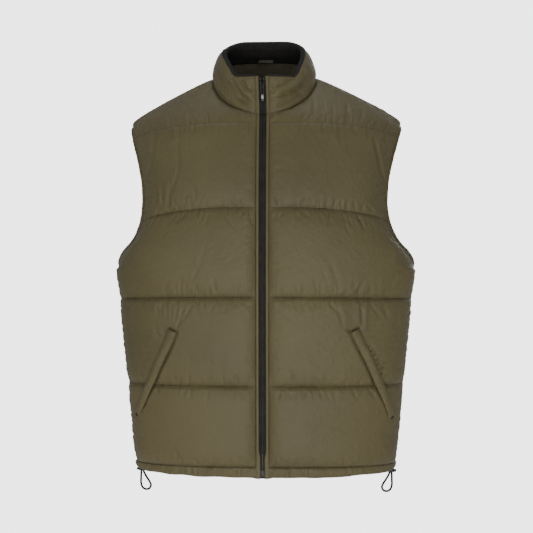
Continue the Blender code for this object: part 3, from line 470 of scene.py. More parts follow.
def swept(sections, ring=False):
    """A closed solid through sections of equal count. u runs round it and v along it."""
    stations, corners = sections.shape[:2]
    index = np.arange(stations * corners).reshape(stations, corners)
    rows = np.concatenate([index, index[:1]]) if ring else index
    turned = np.roll(rows, -1, axis=1)
    quads = np.stack([rows[:-1], turned[:-1], turned[1:], rows[1:]], axis=-1).reshape(-1, 4)
    middle = sections.mean(axis=1)
    v = reach_along(middle)
    u = reach_along(np.concatenate([sections[0], sections[0, :1]]))[:-1]
    uv = np.stack(np.broadcast_arrays(u[None, :], v[:, None]), axis=-1).reshape(-1, 2)
    points, faces = sections.reshape(-1, 3), [quads]
    if not ring:
        count = len(points)
        ends = []
        for row, centre in ((index[0, ::-1], count), (index[-1], count + 1)):
            ends.append(np.stack([row, np.roll(row, -1), np.full(corners, centre)], axis=-1))
        points = np.concatenate([points, middle[[0, -1]]])
        uv = np.concatenate([uv, [[0, v[0]], [0, v[-1]]]])
        faces.append(np.concatenate(ends))
    return Form(points, faces, uv)


def tube(path, radius, corners=8, ring=False):
    """A round tube. Its section turns with the path so that it doesn't twist."""
    along = unit(np.gradient(path, axis=0))
    across = np.empty_like(along)
    side = unit(np.cross(along[0], (0.31, 0.85, 0.42)))
    for station, direction in enumerate(along):
        side = unit(side - direction * (side @ direction))
        across[station] = side
    turn = np.linspace(0, 2 * math.pi, corners, endpoint=False)
    up = np.cross(along, across)
    reach = np.broadcast_to(np.asarray(radius, float), (len(path),))[:, None, None]
    ringed = across[:, None] * np.cos(turn)[:, None] + up[:, None] * np.sin(turn)[:, None]
    return swept(path[:, None] + reach * ringed, ring)


def repeated(form, places, axes):
    """Copies of a small form, each at a place and turned to its three axes."""
    count = len(form.points)
    points = places[:, None] + np.einsum("pk,nkj->npj", form.points, axes)
    shift = (np.arange(len(places)) * count)[:, None, None]
    faces = [(group[None] + shift).reshape(-1, group.shape[1]) for group in form.faces]
    uv = None if form.uv is None else np.tile(form.uv, (len(places), 1))
    return Form(points.reshape(-1, 3), faces, uv)


def plate(outline, levels):
    """A flat body from its outline in x and z. Each level gives y and how far in it is drawn."""
    along = np.roll(outline, -1, axis=0) - np.roll(outline, 1, axis=0)
    inward = unit(np.stack([-along[:, 1], along[:, 0]], axis=1))
    inward *= np.sign(((outline.mean(axis=0) - outline) * inward).sum())
    rings = []
    for y, inset in levels:
        flat = outline + inward * inset
        rings.append(np.stack([flat[:, 0], np.full(len(flat), y), flat[:, 1]], axis=1))
    return swept(np.stack(rings))


def turned_form(profile, corners):
    """A round body about X from a profile of distances along it and out from it."""
    turn = np.linspace(0, 2 * math.pi, corners, endpoint=False)
    along, out = np.array(profile).T
    ringed = np.stack(
        [
            np.broadcast_to(along[:, None], (len(along), corners)),
            out[:, None] * np.cos(turn),
            out[:, None] * np.sin(turn),
        ],
        axis=-1,
    )
    return swept(ringed)


# ---- the panels' own surfaces


def row_curve(row, start_x, shares):
    """A superellipse's arc from the centre to the row's edge: x and y by a power of the turn's
    sine and cosine, and z falling with a power of x."""
    half = row.squareness / 2
    end = math.acos((row.edge_y / row.centre_y) ** half)
    reach_x = row.edge_x / math.sin(end) ** (1 / half)
    turn = np.linspace(math.asin((start_x / reach_x) ** half), end, CURVE_SAMPLES)
    x = reach_x * np.sin(turn) ** (1 / half)
    y = row.centre_y * np.abs(np.cos(turn)) ** (1 / half)
    power = UPPER_FALL if row.name in ("yoke_quilt", "chest_quilt") else 2
    z = row.centre_z + (row.edge_z - row.centre_z) * (x / row.edge_x) ** power
    return by_length(np.stack([x, y, z], axis=1), shares)


def neck_arc(neck, start_x, shares):
    """The neck seam from the centre to the shoulder: an ellipse's quarter in a sloping plane."""
    turn = np.linspace(math.asin(start_x / NECK_HALF), math.pi / 2, CURVE_SAMPLES)
    arc = (NECK_HALF * np.sin(turn), neck.centre_y * np.cos(turn), neck.centre_z * np.cos(turn))
    return by_length(np.stack(arc, axis=1), shares)


def shoulder_seam(shares):
    """A straight line from the neck to the tip, bowed up by a power of the share run times another
    power of the share left."""
    share = (1 - np.cos(np.linspace(0, math.pi, CURVE_SAMPLES))) / 2
    start = np.array((NECK_HALF, 0.0, 0.0))
    seam = start + (SHOULDER_TIP - start) * share[:, None]
    seam[:, 2] += SHOULDER_BOW * share**SHOULDER_AT_NECK * (1 - share) ** SHOULDER_AT_TIP
    return by_length(seam, shares)


def neck_and_shoulder(neck, start_x, shares):
    """The panel's top edge: the neck seam over its share of the columns, then the shoulder."""
    on_neck = shares <= NECK_SHARE
    return np.concatenate(
        [
            neck_arc(neck, start_x, shares[on_neck] / NECK_SHARE),
            shoulder_seam((shares[~on_neck] - NECK_SHARE) / (1 - NECK_SHARE)),
        ]
    )


def loft(knots, curves, heights, corner, looseness):
    """A cubic through the rows at each column. At the corner row, loose columns turn sharply."""
    gaps = np.diff(knots)[:, None, None]
    lines = np.diff(curves, axis=0) / gaps
    inner = (gaps[1:] * lines[:-1] + gaps[:-1] * lines[1:]) / (gaps[1:] + gaps[:-1])
    arriving = np.concatenate([lines[:1], inner, lines[-1:]])
    leaving = arriving.copy()
    weight = looseness[:, None]
    arriving[corner] = (1 - weight) * arriving[corner] + weight * lines[corner - 1]
    leaving[corner] = (1 - weight) * leaving[corner] + weight * lines[corner]
    low = np.clip(np.searchsorted(knots, heights, side="right") - 1, 0, len(knots) - 2)
    gap = (knots[low + 1] - knots[low])[:, None, None]
    v = (heights - knots[low])[:, None, None] / gap
    return (
        (2 * v**3 - 3 * v**2 + 1) * curves[low]
        + (v**3 - 2 * v**2 + v) * leaving[low] * gap
        + (3 * v**2 - 2 * v**3) * curves[low + 1]
        + (v**3 - v**2) * arriving[low + 1] * gap
    )


def neck_directions(points):
    """Where the neck seam's edge faces: outwards, and upwards most at the shoulders."""
    out = points / np.array((NECK_HALF, -FRONT_NECK.centre_y, 1.0))
    out[:, 2] = 0
    out = unit(out)
    out[:, 2] = NECK_LIFT * np.abs(out[:, 0]) ** 1.5
    return unit(out)


def half_panel(rows, neck, start_x, columns):
    """The right half of a front or back: its seam-deep surface, padding height and row places."""
    shares = np.linspace(0, 1, columns)
    curves = np.stack(
        [row_curve(row, start_x, shares) for row in rows]
        + [neck_and_shoulder(neck, start_x, shares)]
    )
    knots = np.concatenate(
        [[0.0], np.cumsum(np.linalg.norm(np.diff(curves, axis=0), axis=2).mean(axis=1))]
    )
    heights, puffs, places = [knots[:1]], [np.zeros(1)], {0: 0}
    for first, last, number in STRETCHES:
        channel = CHANNELS[number]
        count = max(3, round((knots[last] - knots[first]) / CLOTH_STEP))
        line = np.linspace(knots[first], knots[last], count + 1)[1:]
        share = (line - knots[channel.lower]) / (knots[channel.upper] - knots[channel.lower])
        flatness = np.where(share > 0.5, channel.flat_high, channel.flat_low)
        rounded = 1 - np.minimum(np.abs(2 * share - 1), 1) ** flatness
        heights.append(line)
        low_height = 0 if channel.lower == 0 else QUILTED_HEIGHT
        high_height = 0 if channel.upper == len(rows) else QUILTED_HEIGHT
        least = low_height + (high_height - low_height) * share
        puffs.append(least + (channel.height - least) * rounded**PUFF_STEEPNESS)
        places[last] = sum(len(part) for part in heights) - 1
    heights, puffs = np.concatenate(heights), np.concatenate(puffs)
    base = loft(knots, curves, heights, UNDERARM_ROW, ease((shares - LOOSE_FROM) / (1 - LOOSE_FROM)))
    underarm = places[UNDERARM_ROW]

    facing = -1.0 if neck.centre_y > 0 else 1.0
    normals = facing * unit(np.cross(np.gradient(base, axis=1), np.gradient(base, axis=0)))
    if start_x == 0:
        normals[:, 0, 0] = 0
    normals[: underarm + 1, -1] = (1.0, 0.0, 0.0)
    normals[0, :, 2] = 0
    on_neck = shares <= NECK_SHARE
    normals[-1, on_neck] = neck_directions(base[-1, on_neck])
    run = SHOULDER_TIP - np.array((NECK_HALF, 0.0, 0.0))
    normals[-1, ~on_neck] = unit(np.array((-run[2], 0.0, run[0])))
    normals = unit(normals)

    across, along = lengths_over(base, 1), lengths_over(base, 0)
    from_edge = across[:, -1:] - across
    above = np.maximum(knots[0] + heights - heights[underarm], 0)[:, None]
    at_armhole = ease(above / UNDERARM_BLEND)
    fade = ease(from_edge / (FADE_AT_SIDE + (FADE_AT_ARMHOLE - FADE_AT_SIDE) * at_armhole))
    if start_x > 0:
        fade = fade * (1 - (1 - ZIP_EDGE_SHARE) * np.exp(-across / FADE_AT_ZIP))

    drawn = base.copy()
    drawn[-1] += SEAM_INSET * unit(base[-2] - base[-1])
    drawn[0] += SEAM_INSET * unit(base[1] - base[0])
    drawn[:, -1] += SEAM_INSET * unit(base[:, -2] - base[:, -1])
    if start_x > 0:
        drawn[:, 0] += SEAM_INSET * unit(base[:, 1] - base[:, 0])
    return Grid(drawn, normals, across, along, puffs[:, None] * np.ones(columns), fade, places)


def flipped(grid):
    """The mirror image of a half panel, its columns still from the centre out."""
    return grid._replace(base=grid.base * MIRROR, normals=grid.normals * MIRROR)


def whole(grid):
    """A half panel joined at x = 0 to its mirror image, from the left edge to the right."""

    def both(values, sign=1.0):
        return np.concatenate([values[:, :0:-1] * sign, values], axis=1)

    return grid._replace(
        base=both(grid.base, MIRROR),
        normals=both(grid.normals, MIRROR),
        across=both(grid.across, -1.0),
        along=both(grid.along),
        puff=both(grid.puff),
        fade=both(grid.fade),
    )


# ---- padding, gathers and creases


BILLOW_FRAMES = 20
BILLOW_GROWTH = (1.028, 1.028, 1.004)  # how much larger the cloth is cut in x, y and z
BILLOW_SETTINGS = {
    "quality": 5, "mass": 0.15, "air_damping": 3.0, "tension_stiffness": 20.0,
    "compression_stiffness": 20.0, "shear_stiffness": 8.0, "bending_stiffness": 0.6,
    "vertex_group_mass": "stitched", "use_pressure": True, "uniform_pressure_force": 4.0,
}
BILLOW_CAP = 0.0035
BILLOW_GAIN = 0.75


def billowed(name, start, normals, held, seed):
    """How far each point of a padded grid moves when the cloth between its stitched points is cut
    larger than its place and blown out. Only what varies over a few centimetres is kept."""
    rows, columns = start.shape[:2]
    rng = np.random.default_rng(seed)
    index = np.arange(rows * columns).reshape(rows, columns)
    quads = np.stack([index[:-1, :-1], index[:-1, 1:], index[1:, 1:], index[1:, :-1]], axis=-1)
    quads = quads.reshape(-1, 4)
    if (grid_normals(start) * normals).sum() < 0:
        quads = quads[:, ::-1]
    loose = start + rng.normal(scale=0.0002, size=start.shape) * ~held[..., None]
    obj = new_object(name, mesh_of(name, Form(loose.reshape(-1, 3), [quads], None)))
    stitched = obj.vertex_groups.new(name="stitched")
    stitched.add(np.flatnonzero(held).tolist(), 1.0, "REPLACE")
    obj.shape_key_add(name="start")
    cut = obj.shape_key_add(name="cut")
    cut.data.foreach_set("co", (start * BILLOW_GROWTH).astype(np.float32).ravel())
    cloth = obj.modifiers.new("cloth", "CLOTH")
    cloth.point_cache.frame_start = 1
    cloth.point_cache.frame_end = BILLOW_FRAMES
    cloth.collision_settings.use_collision = False
    for setting, value in BILLOW_SETTINGS.items():
        setattr(cloth.settings, setting, value)
    cloth.settings.rest_shape_key = cut
    cloth.settings.effector_weights.gravity = 0.0
    scene = bpy.context.scene
    for number in range(1, BILLOW_FRAMES + 1):
        scene.frame_set(number)
    shaped = obj.evaluated_get(bpy.context.evaluated_depsgraph_get())
    moved = np.empty(rows * columns * 3, np.float32)
    shaped.data.vertices.foreach_get("co", moved)
    scene.frame_set(1)
    bpy.data.objects.remove(obj, do_unlink=True)
    shift = moved.reshape(start.shape).astype(float) - start
    shift -= smoothed(shift, 5.0)
    away = 1 - np.exp(-(stitch_distance(held) / 1.3) ** 2)
    shift *= BILLOW_GAIN * away[..., None]
    size = np.linalg.norm(shift, axis=-1, keepdims=True)
    return shift * np.minimum(1, BILLOW_CAP / np.maximum(size, 1e-9))


def stitch_distance(held):
    """The distance of each cell from the nearest stitched row or column, in cells, up to 8."""
    found = np.where(held, 0.0, 8.0)
    for _ in range(8):
        framed = np.pad(found, 1, mode="edge")
        around = [framed[1:-1, :-2], framed[1:-1, 2:], framed[:-2, 1:-1], framed[2:, 1:-1]]
        found = np.minimum(found, np.min(around, axis=0) + 1)
    return found


CREASE_SHARPNESS = 1.4
RIDGE_SHARE = 0.16


def creased(grid, creases):
    """The height that creases add, fading at both ends of each: a fold as deep as its depth, by
    the exponential of less a power of the distance in widths, and a low ridge on both sides."""
    flat = grid[..., [0, 2]]
    height = np.zeros(grid.shape[:2])
    for crease in creases:
        places = np.array(crease.places)
        reach = reach_along(places)
        nearest = np.full(grid.shape[:2], np.inf)
        share = np.zeros(grid.shape[:2])
        for start, end, low, high in zip(places[:-1], places[1:], reach[:-1], reach[1:]):
            run = end - start
            part = np.clip(((flat - start) @ run) / (run @ run), 0, 1)
            away = np.linalg.norm(flat - start - part[..., None] * run, axis=-1)
            closer = away < nearest
            nearest = np.where(closer, away, nearest)
            share = np.where(closer, (low + part * (high - low)) / reach[-1], share)
        fading = ease(share / 0.3) * ease((1 - share) / 0.3) * 0.8 + 0.2
        fold = np.exp(-((nearest / crease.width) ** CREASE_SHARPNESS))
        ridge = np.exp(-(((nearest - 2 * crease.width) / crease.width) ** 2))
        height += crease.depth * fading * (RIDGE_SHARE * ridge - fold)
    return height


def gathers(lengths, distance, rng, wave, reach, height):
    """Puckers that a row of stitches draws up: a random line along the seam, read a little aside
    as it leans, that rises from nothing over a short distance and dies away over its reach."""
    step = np.abs(np.diff(lengths)).mean()
    count = len(lengths)
    line = wander(rng, count, wave / step) + 0.5 * wander(rng, count, 0.45 * wave / step)
    longer = 1 + 0.7 * wander(rng, count, 2.5 * wave / step)
    lean = 0.35 * wander(rng, count, 4 * wave / step)
    places = np.arange(count) + lean * np.abs(distance) / step
    spread = np.interp(places, np.arange(count), line)
    reaches = reach * np.maximum(longer, 0.25)
    near = np.abs(distance)
    return height * spread * np.exp(-near / reaches) * (1 - np.exp(-near / 0.0015))


YOKE_ROW = 10
QUILT_ROWS = (1, 2, 7, YOKE_ROW)
SEWN_ROWS = (0, *QUILT_ROWS, 11)
YOKE_LINE_SOFTER = 0.0011  # the yoke's line is drawn up less than the others
ZIP_SOFTER = 0.0080  # and so are the edges along the zip
GATHER_HEIGHTS = {0: 0.0010, 1: 0.0009, 2: 0.0010, 7: 0.0009, 10: 0.0006, 11: 0.0006}


def finer(grid):
    """A panel's grid with twice the points each way."""
    return grid._replace(
        base=doubled(grid.base),
        normals=unit(doubled(grid.normals)),
        across=doubled(grid.across),
        along=doubled(grid.along),
        rows={row: 2 * place for row, place in grid.rows.items()},
    )


def seam_distances(grid, centre_open):
    """How far each point is from a stitched row and from a sewn edge or the front."""
    rows = np.array([grid.along[grid.rows[row]] for row in SEWN_ROWS])
    from_rows = np.abs(grid.along[None] - rows[:, None])
    from_rows[SEWN_ROWS.index(YOKE_ROW)] += YOKE_LINE_SOFTER
    from_rows = from_rows.min(axis=0)
    from_first = np.abs(grid.across - grid.across[:, :1]) + (ZIP_SOFTER if centre_open else 0.0)
    from_sides = np.minimum(np.abs(grid.across[:, -1:] - grid.across), from_first)
    return np.stack([from_rows, from_sides], axis=-1)


def seam_gathers(grid, rng, centre_open):
    """The gathers along a panel's quilting lines, hem, edges and front."""
    along, across = grid.along, grid.across
    total = np.zeros(along.shape)
    for row, height in GATHER_HEIGHTS.items():
        place = grid.rows[row]
        total += gathers(across[place], along - along[place], rng, 0.011, 0.013, height)
    for column, height in ((-1, 0.0010), (0, 0.0003 if centre_open else 0.0010)):
        distance = (across - across[:, [column]]).T
        total += gathers(along[:, column], distance, rng, 0.012, 0.009, height).T
    return total


PLEAT_LENGTH = (0.008, 0.022)
PLEAT_DEPTH = (0.0005, 0.0017)
PLEAT_WIDTH = (0.0017, 0.0030)
PLEAT_GAP = (0.0045, 0.0135)


def seam_pleats(grid, rng):
    """Short creases at uneven distances along the stitched rows and the two upright edges, each
    leaning its own way."""
    spots = grid.base[..., [0, 2]]
    rows = [grid.rows[row] for row in SEWN_ROWS]
    pleats = []

    def add_pleats(line, away, sign, share=1.0):
        reach = reach_along(line)
        place = rng.uniform(0.004, 0.012)
        while place < reach[-1] - 0.004:
            start = at_lengths(line, line, [place])[0]
            out = unit(at_lengths(line, away, [place])[0]) * sign
            side = np.array((-out[1], out[0]))
            length = rng.uniform(*PLEAT_LENGTH) * (1.6 if rng.random() < 0.18 else 1.0)
            lean = rng.normal(scale=0.45)
            middle = start + length * (0.55 * out + 0.40 * lean * side)
            end = start + length * (out + lean * side)
            depth = share * rng.uniform(*PLEAT_DEPTH) * rng.choice((1.0, 1.0, -0.6))
            width = rng.uniform(*PLEAT_WIDTH)
            pleats.append(Crease((start, middle, end), width, depth))
            place += rng.uniform(*PLEAT_GAP)

    for row in rows:
        for sign, step in ((1.0, 1), (-1.0, -1)):
            if 0 <= row + 3 * step < len(spots):
                add_pleats(spots[row], (spots[row + 3 * step] - spots[row]) * sign, sign)
    for column, step, share in ((0, 3, 0.4), (-1, -3, 0.9)):
        add_pleats(spots[:, column], spots[:, column + step] - spots[:, column], 1.0, share)
    return pleats


def in_metres(table):
    """The creases of a table, each of its numbers in millimetres times a thousandth."""
    return [
        Crease(np.array(places) * MM, width * MM, depth * MM) for places, width, depth in table
    ]


def placed_pleats(table, rng):
    """The creases of the rows of pleats that stand at known places: evenly from a row's first to
    its last, with each start, run and depth a little off at random."""
    pleats = []
    for row in (PleatRow(*values) for values in table):
        first, last, run = (np.array(part) * MM for part in (row.first, row.last, row.run))
        for share in np.linspace(0, 1, row.count):
            start = first + (last - first) * share + rng.normal(scale=0.0008, size=2)
            end = start + run * rng.uniform(0.65, 1.25) + rng.normal(scale=0.0012, size=2)
            depth = row.depth * MM * rng.uniform(0.7, 1.2)
            pleats.append(Crease((start, end), row.width * MM, depth))
    return pleats


BLOWN_FROM = 0.8  # share of the padding's height that the cloth is blown out from
SEAM_CLEAR = 0.004  # distance from a seam over which folds rise
GATHER_SHARE = 0.6


def padded_cloth(name, grid, creases, pleats, seed, centre_open):
    """A panel's finished outer grid and its plain inner one. The outer one is the base plus the
    normal times the padding's height, plus what was blown out, plus the folds and gathers. These
    fade where the seams are, as one less a bell curve of the distance."""
    rng = np.random.default_rng(seed)
    held = np.zeros(grid.puff.shape, bool)
    held[[grid.rows[row] for row in SEWN_ROWS]] = True
    held[:, [0, -1]] = True
    lift = grid.normals * (grid.puff * grid.fade)[..., None]
    detail = billowed(name + "_blown", grid.base + BLOWN_FROM * lift, grid.normals, held,
                      seed)
    fine = finer(grid)
    marks = seam_distances(fine, centre_open)
    window = 1 - np.exp(-(marks.min(axis=-1) / SEAM_CLEAR) ** 2)
    folds = (*creases, *placed_pleats(pleats, rng), *seam_pleats(fine, rng))
    rise = creased(fine.base, folds)
    rise = (rise + GATHER_SHARE * seam_gathers(fine, rng, centre_open)) * window
    outer = doubled(grid.base + lift + detail) + fine.normals * rise[..., None]
    return outer, grid.base - grid.normals * WALL, marks


def cloth_uv(grid):
    """Lengths across and along the cloth, as the grid holds them, at twice its points each way."""
    return doubled(np.stack([grid.across, grid.along], axis=-1))


# ---- materials


def fed(node, inputs):
    """The node, with each of these inputs set to a value or linked to another node's output."""
    for name, value in inputs.items():
        if isinstance(value, bpy.types.NodeSocket):
            node.id_data.links.new(value, node.inputs[name])
        else:
            node.inputs[name].default_value = value
    return node


def add(tree, kind, inputs=(), **settings):
    """A node with its settings, and its inputs given as a value or another node's output."""
    node = tree.nodes.new("ShaderNode" + kind)
    for name, value in settings.items():
        setattr(node, name, value)
    return fed(node, dict(inputs))


def math_of(operation, *values, clamp=False):
    """A Math node's result, from values of which at least one is another node's output."""
    tree = next(value.id_data for value in values if isinstance(value, bpy.types.NodeSocket))
    node = add(tree, "Math", enumerate(values), operation=operation, use_clamp=clamp)
    return node.outputs[0]


def times(first, second):
    return math_of("MULTIPLY", first, second)


def scaled(value, factor, shift, clamp=False):
    """The value times the factor, plus the shift."""
    return math_of("MULTIPLY_ADD", value, factor, shift, clamp=clamp)


def noise_at(place, scale, detail=2.0, **others):
    """A noise texture's value at a place that another node gives."""
    inputs = {"Vector": place, "Scale": scale, "Detail": detail, **others}
    return add(place.id_data, "TexNoise", inputs).outputs["Fac"]


def mixed(factor, first, second):
    """The first colour less the factor's share of it, plus that share of the second."""
    inputs = {0: factor, 6: first, 7: second}
    return add(factor.id_data, "Mix", inputs, data_type="RGBA").outputs[2]


def colour_ramp(factor, stops):
    """The colour at the factor's place on straight lines between the stops."""
    node = add(factor.id_data, "ValToRGB", {"Fac": factor})
    ramp = node.color_ramp
    while len(ramp.elements) < len(stops):
        ramp.elements.new(0.5)
    for element, (place, colour) in zip(ramp.elements, stops):
        element.position = place
        element.color = (*colour, 1.0)
    return node.outputs["Color"]


def group_of(name, inputs, outputs):
    """A new node group with named number inputs and outputs."""
    tree = bpy.data.node_groups.new(name, "ShaderNodeTree")
    for label, value in inputs:
        kind = "NodeSocketVector" if value is None else "NodeSocketFloat"
        socket = tree.interface.new_socket(label, in_out="INPUT", socket_type=kind)
        if value is not None:
            socket.default_value = value
    for label in outputs:
        tree.interface.new_socket(label, in_out="OUTPUT", socket_type="NodeSocketFloat")
    return tree, tree.nodes.new("NodeGroupInput"), tree.nodes.new("NodeGroupOutput")


def weave_group():
    """Plain weave on the cloth's own UVs: warp and weft bars that pass over each other by turns."""
    tree, given, result = group_of(
        "plain_weave", (("Vector", None), ("Threads", 2500.0)), ("Height", "Thread")
    )
    inputs = {0: given.outputs["Vector"], "Scale": given.outputs["Threads"]}
    counted = add(tree, "VectorMath", inputs, operation="SCALE")
    split = add(tree, "SeparateXYZ", {0: counted.outputs[0]})
    bars = [math_of("SINE", times(split.outputs[axis], math.pi)) for axis in (0, 1)]
    over = math_of("GREATER_THAN", times(*bars), 0.0)
    warp, weft = (math_of("ABSOLUTE", bar) for bar in bars)
    height = add(tree, "Mix", {0: over, 2: warp, 3: weft}, data_type="FLOAT").outputs[0]
    fed(result, {"Height": height, "Thread": over})
    return tree


def crumple_group():
    """Soft crumpling: warped noise at three sizes, the smaller ones folded at their middle."""
    tree, given, result = group_of(
        "soft_crumple", (("Vector", None), ("Scale", 28.0)), ("Height", "Drift")
    )
    bend = add(tree, "TexNoise", {"Vector": given.outputs["Vector"], "Scale": 9.0, "Detail": 1.0})
    spread = add(
        tree, "VectorMath", {0: bend.outputs["Color"], 1: (0.06, 0.06, 0.06)}, operation="MULTIPLY"
    )
    place = add(
        tree, "VectorMath", {0: given.outputs["Vector"], 1: spread.outputs[0]}, operation="ADD"
    )
    heights = []
    for share, stretch in ((1.0, (1.0, 1.0, 0.55)), (2.3, (1.0, 1.0, 0.7)), (5.1, (1.0, 1.0, 1.0))):
        mapped = add(tree, "Mapping", {"Vector": place.outputs[0], "Scale": stretch})
        size = times(given.outputs["Scale"], share)
        noise = noise_at(mapped.outputs[0], size, Roughness=0.45)
        folded = math_of("ABSOLUTE", math_of("SUBTRACT", noise, 0.5))
        heights.append(math_of("DIVIDE", folded, share))
    total = math_of("ADD", math_of("ADD", heights[0], heights[1]), heights[2])
    fed(result, {"Height": total, "Drift": noise_at(given.outputs["Vector"], 5.0, 3.0)})
    return tree


def placed(tree, group, **inputs):
    """A node group in a material, with its own values."""
    return add(tree, "Group", inputs, node_tree=group)


def new_finish(name):
    """A material with its tree and Principled shader."""
    finish = bpy.data.materials.new(name)
    finish.use_nodes = True
    return finish, finish.node_tree, finish.node_tree.nodes["Principled BSDF"]


def bumped(shader, *layers):
    """Bump nodes one after the other, each from a height, a distance and a strength."""
    normal = {}
    for height, distance, strength in layers:
        inputs = {"Height": height, "Distance": distance, "Strength": strength, **normal}
        normal = {"Normal": add(shader.id_data, "Bump", inputs).outputs["Normal"]}
    fed(shader, normal)


def gather_group():
    """Fine puckers drawn up by stitches: streaks that run away from a seam and fade, from a noise
    on the cloth's UVs that is long across the seam and short along it, and a thin line of painted
    shade along the seams, darker in patches."""
    tree, given, result = group_of(
        "stitch_puckers_and_seam_shade", (("Cloth", None), ("Seams", None), ("Reach", 0.012)),
        ("Height", "Line")
    )
    from_seams = add(tree, "SeparateXYZ", {0: given.outputs["Seams"]})
    heights = []
    for number, stretch in ((0, (1.0, 0.10, 1.0)), (1, (0.10, 1.0, 1.0))):
        patch = noise_at(given.outputs["Cloth"], 26.0)
        reach = times(given.outputs["Reach"], scaled(patch, 3.4, -0.9))
        reach = math_of("MAXIMUM", reach, 0.0022)
        mapped = add(tree, "Mapping", {"Vector": given.outputs["Cloth"], "Scale": stretch})
        noise = noise_at(mapped.outputs[0], 150.0, Distortion=0.6)
        ratio = math_of("DIVIDE", from_seams.outputs[number], reach)
        fading = math_of("EXPONENT", times(ratio, -1.0))
        heights.append(times(math_of("SUBTRACT", noise, 0.5), fading))
    # Painted shade: a thin dark line along the nearest seam, patchy by a noise
    nearest = math_of("MINIMUM", from_seams.outputs[0], from_seams.outputs[1])
    narrow = math_of("DIVIDE", nearest, 0.0011)
    line = math_of("EXPONENT", times(times(narrow, narrow), -1.0))
    uneven = scaled(patch, 1.8, -0.48, clamp=True)
    fed(result, {"Height": math_of("ADD", *heights), "Line": times(line, uneven)})
    return tree


SHELL_DARK = (0.0985, 0.0825, 0.0355)
SHELL_MID = (0.1185, 0.0985, 0.0430)
SHELL_LIGHT = (0.1350, 0.1125, 0.0505)
SEAM_SHADE = (0.040, 0.033, 0.016)


def shell_finish(weave, crumple, puckers=None):
    """Olive nylon: a tight weave, faint crumpling, a soft satin gloss and a slow drift in tone.
    With puckers, it's gathered along the seams that the cloth's second UVs measure from, and a
    thin line of painted shade darkens the cloth along them."""
    finish, tree, shader = new_finish("olive_nylon_quilted" if puckers else "olive_nylon")
    uv = add(tree, "UVMap", uv_map="cloth").outputs[0]
    place = add(tree, "TexCoord").outputs["Object"]
    threads = placed(tree, weave, Vector=uv, Threads=3000.0)
    folds = placed(tree, crumple, Vector=place, Scale=30.0)
    tones = ((0.30, SHELL_DARK), (0.50, SHELL_MID), (0.72, SHELL_LIGHT))
    tone = colour_ramp(folds.outputs["Drift"], tones)
    speck = scaled(noise_at(place, 900.0), 0.22, 0.0, clamp=True)
    colour = mixed(speck, tone, (*SHELL_DARK, 1.0))
    colour = mixed(times(threads.outputs["Thread"], 0.06), colour, (*SHELL_LIGHT, 1.0))
    if puckers:
        seams = add(tree, "UVMap", uv_map="seams").outputs[0]
        drawn = placed(tree, puckers, Cloth=uv, Seams=seams)
        # Painted shade: the colour darkens towards SEAM_SHADE in a thin line along the seams
        colour = mixed(drawn.outputs["Line"], colour, (*SEAM_SHADE, 1.0))
    fed(shader, {"Base Color": colour, "Roughness": scaled(folds.outputs["Drift"], 0.16, 0.45),
                 "Specular IOR Level": 0.36, "Sheen Weight": 0.05, "Sheen Roughness": 0.45})
    layers = [(folds.outputs["Height"], 0.0046, 0.42), (threads.outputs["Height"], 0.00005, 0.3)]
    if puckers:
        layers.insert(0, (drawn.outputs["Height"], 0.0036, 0.9))
    bumped(shader, *layers)
    return finish


def plain_cloth_finish(name, colour, weave, threads, rough, depth):
    """A woven cloth of one colour, its threads showing as bars and its tone a little uneven."""
    finish, tree, shader = new_finish(name)
    uv = add(tree, "UVMap", uv_map="cloth").outputs[0]
    place = add(tree, "TexCoord").outputs["Object"]
    bars = placed(tree, weave, Vector=uv, Threads=threads)
    dark, light = (tuple(share * part for part in colour) for share in (0.72, 1.35))
    tone = colour_ramp(noise_at(place, 60.0, 3.0), ((0.30, dark), (0.52, colour), (0.75, light)))
    tone = mixed(times(bars.outputs["Thread"], 0.25), tone, (*light, 1.0))
    fed(shader, {"Base Color": tone, "Roughness": rough, "Specular IOR Level": 0.25})
    bumped(shader, (bars.outputs["Height"], depth, 0.8))
    return finish


def pile_finish():
    """Black fleece: matt, mottled where the pile lies in tufts, with a faint sheen, and painted
    shade that darkens it low down at the back of the neck, in the collar's hollow."""
    finish, tree, shader = new_finish("black_fleece")
    place = add(tree, "TexCoord").outputs["Object"]
    tufts = add(tree, "TexVoronoi", {"Vector": place, "Scale": 520.0}, feature="SMOOTH_F1")
    both = math_of("ADD", tufts.outputs["Distance"], times(noise_at(place, 130.0, 4.0), 0.6))
    tone = colour_ramp(both, ((0.35, (0.0190, 0.0186, 0.0170)), (0.60, (0.0270, 0.0265, 0.0242)),
                              (0.95, (0.0360, 0.0350, 0.0320))))
    # Painted shade: the fleece is darkened towards near black low down at the back, where the
    # collar's hollow lies in shadow
    spots = add(tree, "SeparateXYZ", {0: place})
    back = math_of("DIVIDE", spots.outputs[1], 0.035, clamp=True)
    depth = scaled(spots.outputs[2], -55.0, 3.55, clamp=True)
    tone = mixed(times(times(back, depth), 0.66), tone, (0.0015, 0.0015, 0.0014, 1.0))
    fed(shader, {"Base Color": tone, "Roughness": 0.95, "Specular IOR Level": 0.1,
                 "Sheen Weight": 0.01, "Sheen Roughness": 0.6})
    bumped(shader, (both, 0.0010, 0.9))
    return finish


def metal_finish(name, colour, worn, rough):
    """Plated metal: brushed streaks, and paler edges where it has rubbed."""
    finish, tree, shader = new_finish(name)
    place = add(tree, "TexCoord").outputs["Object"]
    mapped = add(tree, "Mapping", {"Vector": place, "Scale": (1.0, 1.0, 0.12)})
    streak = noise_at(mapped.outputs[0], 2600.0)
    edge = add(tree, "NewGeometry").outputs["Pointiness"]
    rubbed = colour_ramp(edge, ((0.50, (0.0,) * 3), (0.58, (1.0,) * 3)))
    tone = mixed(times(rubbed, 0.8), (*colour, 1.0), (*worn, 1.0))
    fed(shader, {"Base Color": tone, "Metallic": 1.0, "Roughness": scaled(streak, 0.18, rough)})
    bumped(shader, (streak, 0.00004, 0.5))
    return finish


